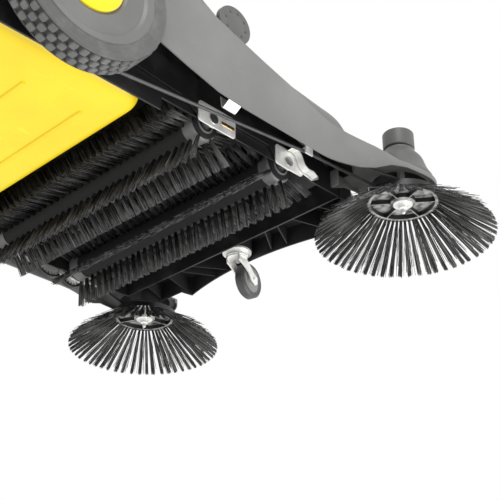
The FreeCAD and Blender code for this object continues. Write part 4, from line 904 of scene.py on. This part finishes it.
# %% Strips along a path
def bent_strip(name, path, start, end, thick, axis, body):
    """Strip of the given thickness along a path of (u, v) points, reaching from start to end along the axis.

    Each path point moves by half the thickness along the mean of the normals of its two runs."""
    path = np.array(path, dtype=float) * MM
    runs = np.diff(path, axis=0)
    runs /= np.linalg.norm(runs, axis=1, keepdims=True)
    normals = np.stack([-runs[:, 1], runs[:, 0]], 1)
    mean = np.vstack([normals[:1], (normals[1:] + normals[:-1]) / 2, normals[-1:]])
    mean /= np.linalg.norm(mean, axis=1, keepdims=True)
    outline = soften(np.vstack([path + mean * thick / 2, (path - mean * thick / 2)[::-1]]), 3 * thick)
    count = len(outline)
    ends = []
    for level in (start, end):
        flat = np.full((count, 1), level)
        ends.append(np.hstack([flat, outline] if axis == "X" else [outline[:, :1], flat, outline[:, 1:]]))
    shape = bmesh.new()
    low, high = ([shape.verts.new(p) for p in ring] for ring in ends)
    shape.faces.new(low)
    shape.faces.new(high[::-1])
    for k in range(count):
        following = (k + 1) % count
        shape.faces.new((low[k], low[following], high[following], high[k]))
    bmesh.ops.recalc_face_normals(shape, faces=shape.faces)
    bmesh.ops.triangulate(shape, faces=shape.faces)
    mesh = bpy.data.meshes.new(name)
    shape.to_mesh(mesh)
    shape.free()
    mesh.materials.append(zinc)
    piece = bpy.data.objects.new(name, mesh)
    bpy.context.scene.collection.objects.link(piece)
    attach(piece, body)
    return piece


for side, sign in (("right", -1), ("left", 1)):
    brace = [(sign * x, z) for x, z in ((312, 92), (312, 78), (294, 66), (291, 88))]
    print(bent_strip("panel_brace_" + side, brace, -0.146, -0.122, 2.0 * MM, "Y", "chassis").name)
hook = [(-288, 88), (-300, 90), (-308, 82), (-312, 70), (-322, 64), (-334, 66), (-342, 60)]
print(bent_strip("plate_hook_right", hook, -0.276, -0.2645, 1.8 * MM, "X", "cradle").name)

# %% [markdown]
# ## Floor, light and camera
#
# The floor is a plain pale sheet. Because this view looks up from under the machine, its back is clear, and
# it neither blocks light nor shows in reflections, so the underside is lit as if from a light table.

# %% A floor that is clear from below
FLOOR_HALF, FLOOR_LEVEL = 60.0, -0.6 * MM


def studio_floor():
    """A wide flat sheet just under the wheels, seen only from above."""
    pale = Finish("studio_floor", Roughness=0.7)
    speckle = pale.noise(0.4, detail=3)
    pale.paint(pale.mix(speckle, (0.86, 0.86, 0.86), (0.90, 0.90, 0.90)))
    tree = pale.tree
    clear = pale.node("ShaderNodeBsdfTransparent")
    back = pale.node("ShaderNodeNewGeometry").outputs["Backfacing"]
    join = pale.node("ShaderNodeMixShader", inputs={0: back, 1: pale.shader.outputs[0], 2: clear.outputs[0]})
    tree.links.new(join.outputs[0], tree.nodes["Material Output"].inputs[0])
    corners = ((-1, -1), (1, -1), (1, 1), (-1, 1))
    points = np.array([(x * FLOOR_HALF, y * FLOOR_HALF, FLOOR_LEVEL) for x, y in corners])
    mesh = bpy.data.meshes.new("floor")
    mesh.from_pydata(points, [], [(0, 1, 2, 3)])
    mesh.materials.append(pale.material)
    floor = bpy.data.objects.new("floor", mesh)
    bpy.context.scene.collection.objects.link(floor)
    floor.visible_shadow = False
    floor.visible_diffuse = False
    floor.visible_glossy = False
    return floor


print("floor", studio_floor().name)

# %% Soft light from all round
world = bpy.data.worlds.new("studio")
bpy.context.scene.world = world
world.use_nodes = True
world.node_tree.nodes["Background"].inputs[0].default_value = (1, 1, 1, 1)
world.node_tree.nodes["Background"].inputs[1].default_value = 1.0
bpy.context.scene.view_settings.view_transform = "Standard"


def soft_box(name, place, target, size, power):
    """A square lamp at place that faces target."""
    lamp = bpy.data.lights.new(name, "AREA")
    lamp.size, lamp.energy = size, power
    item = bpy.data.objects.new(name, lamp)
    item.location = place
    aim = Vector(target) - Vector(place)
    item.rotation_euler = aim.to_track_quat("-Z", "Y").to_euler()
    bpy.context.scene.collection.objects.link(item)
    return item


soft_box("key_lamp", (-2.2, 1.6, 2.6), (0, -0.2, 0.2), 1.8, 60)
soft_box("low_lamp", (-1.8, -1.4, -1.6), (0, -0.3, 0.1), 1.6, 40)

# %% The camera under the near rear corner
CAMERA_PLACE = (-1.214, 0.758, -0.832)
HEADING, CLIMB = math.radians(-45.48), math.radians(28.0)
LENS, SENSOR = 80.51, 36.0


def look_up_camera():
    """A long lens below floor height, behind the right wheel, turned to the front left and 28 degrees up."""
    data = bpy.data.cameras.new("camera")
    data.sensor_width, data.lens = SENSOR, LENS
    data.clip_start = 0.05
    camera = bpy.data.objects.new("camera", data)
    camera.location = CAMERA_PLACE
    level = math.cos(CLIMB)
    aim = Vector((math.cos(HEADING) * level, math.sin(HEADING) * level, math.sin(CLIMB)))
    camera.rotation_euler = aim.to_track_quat("-Z", "Y").to_euler()
    bpy.context.scene.collection.objects.link(camera)
    bpy.context.scene.camera = camera
    return camera


print("camera lens", look_up_camera().data.lens)
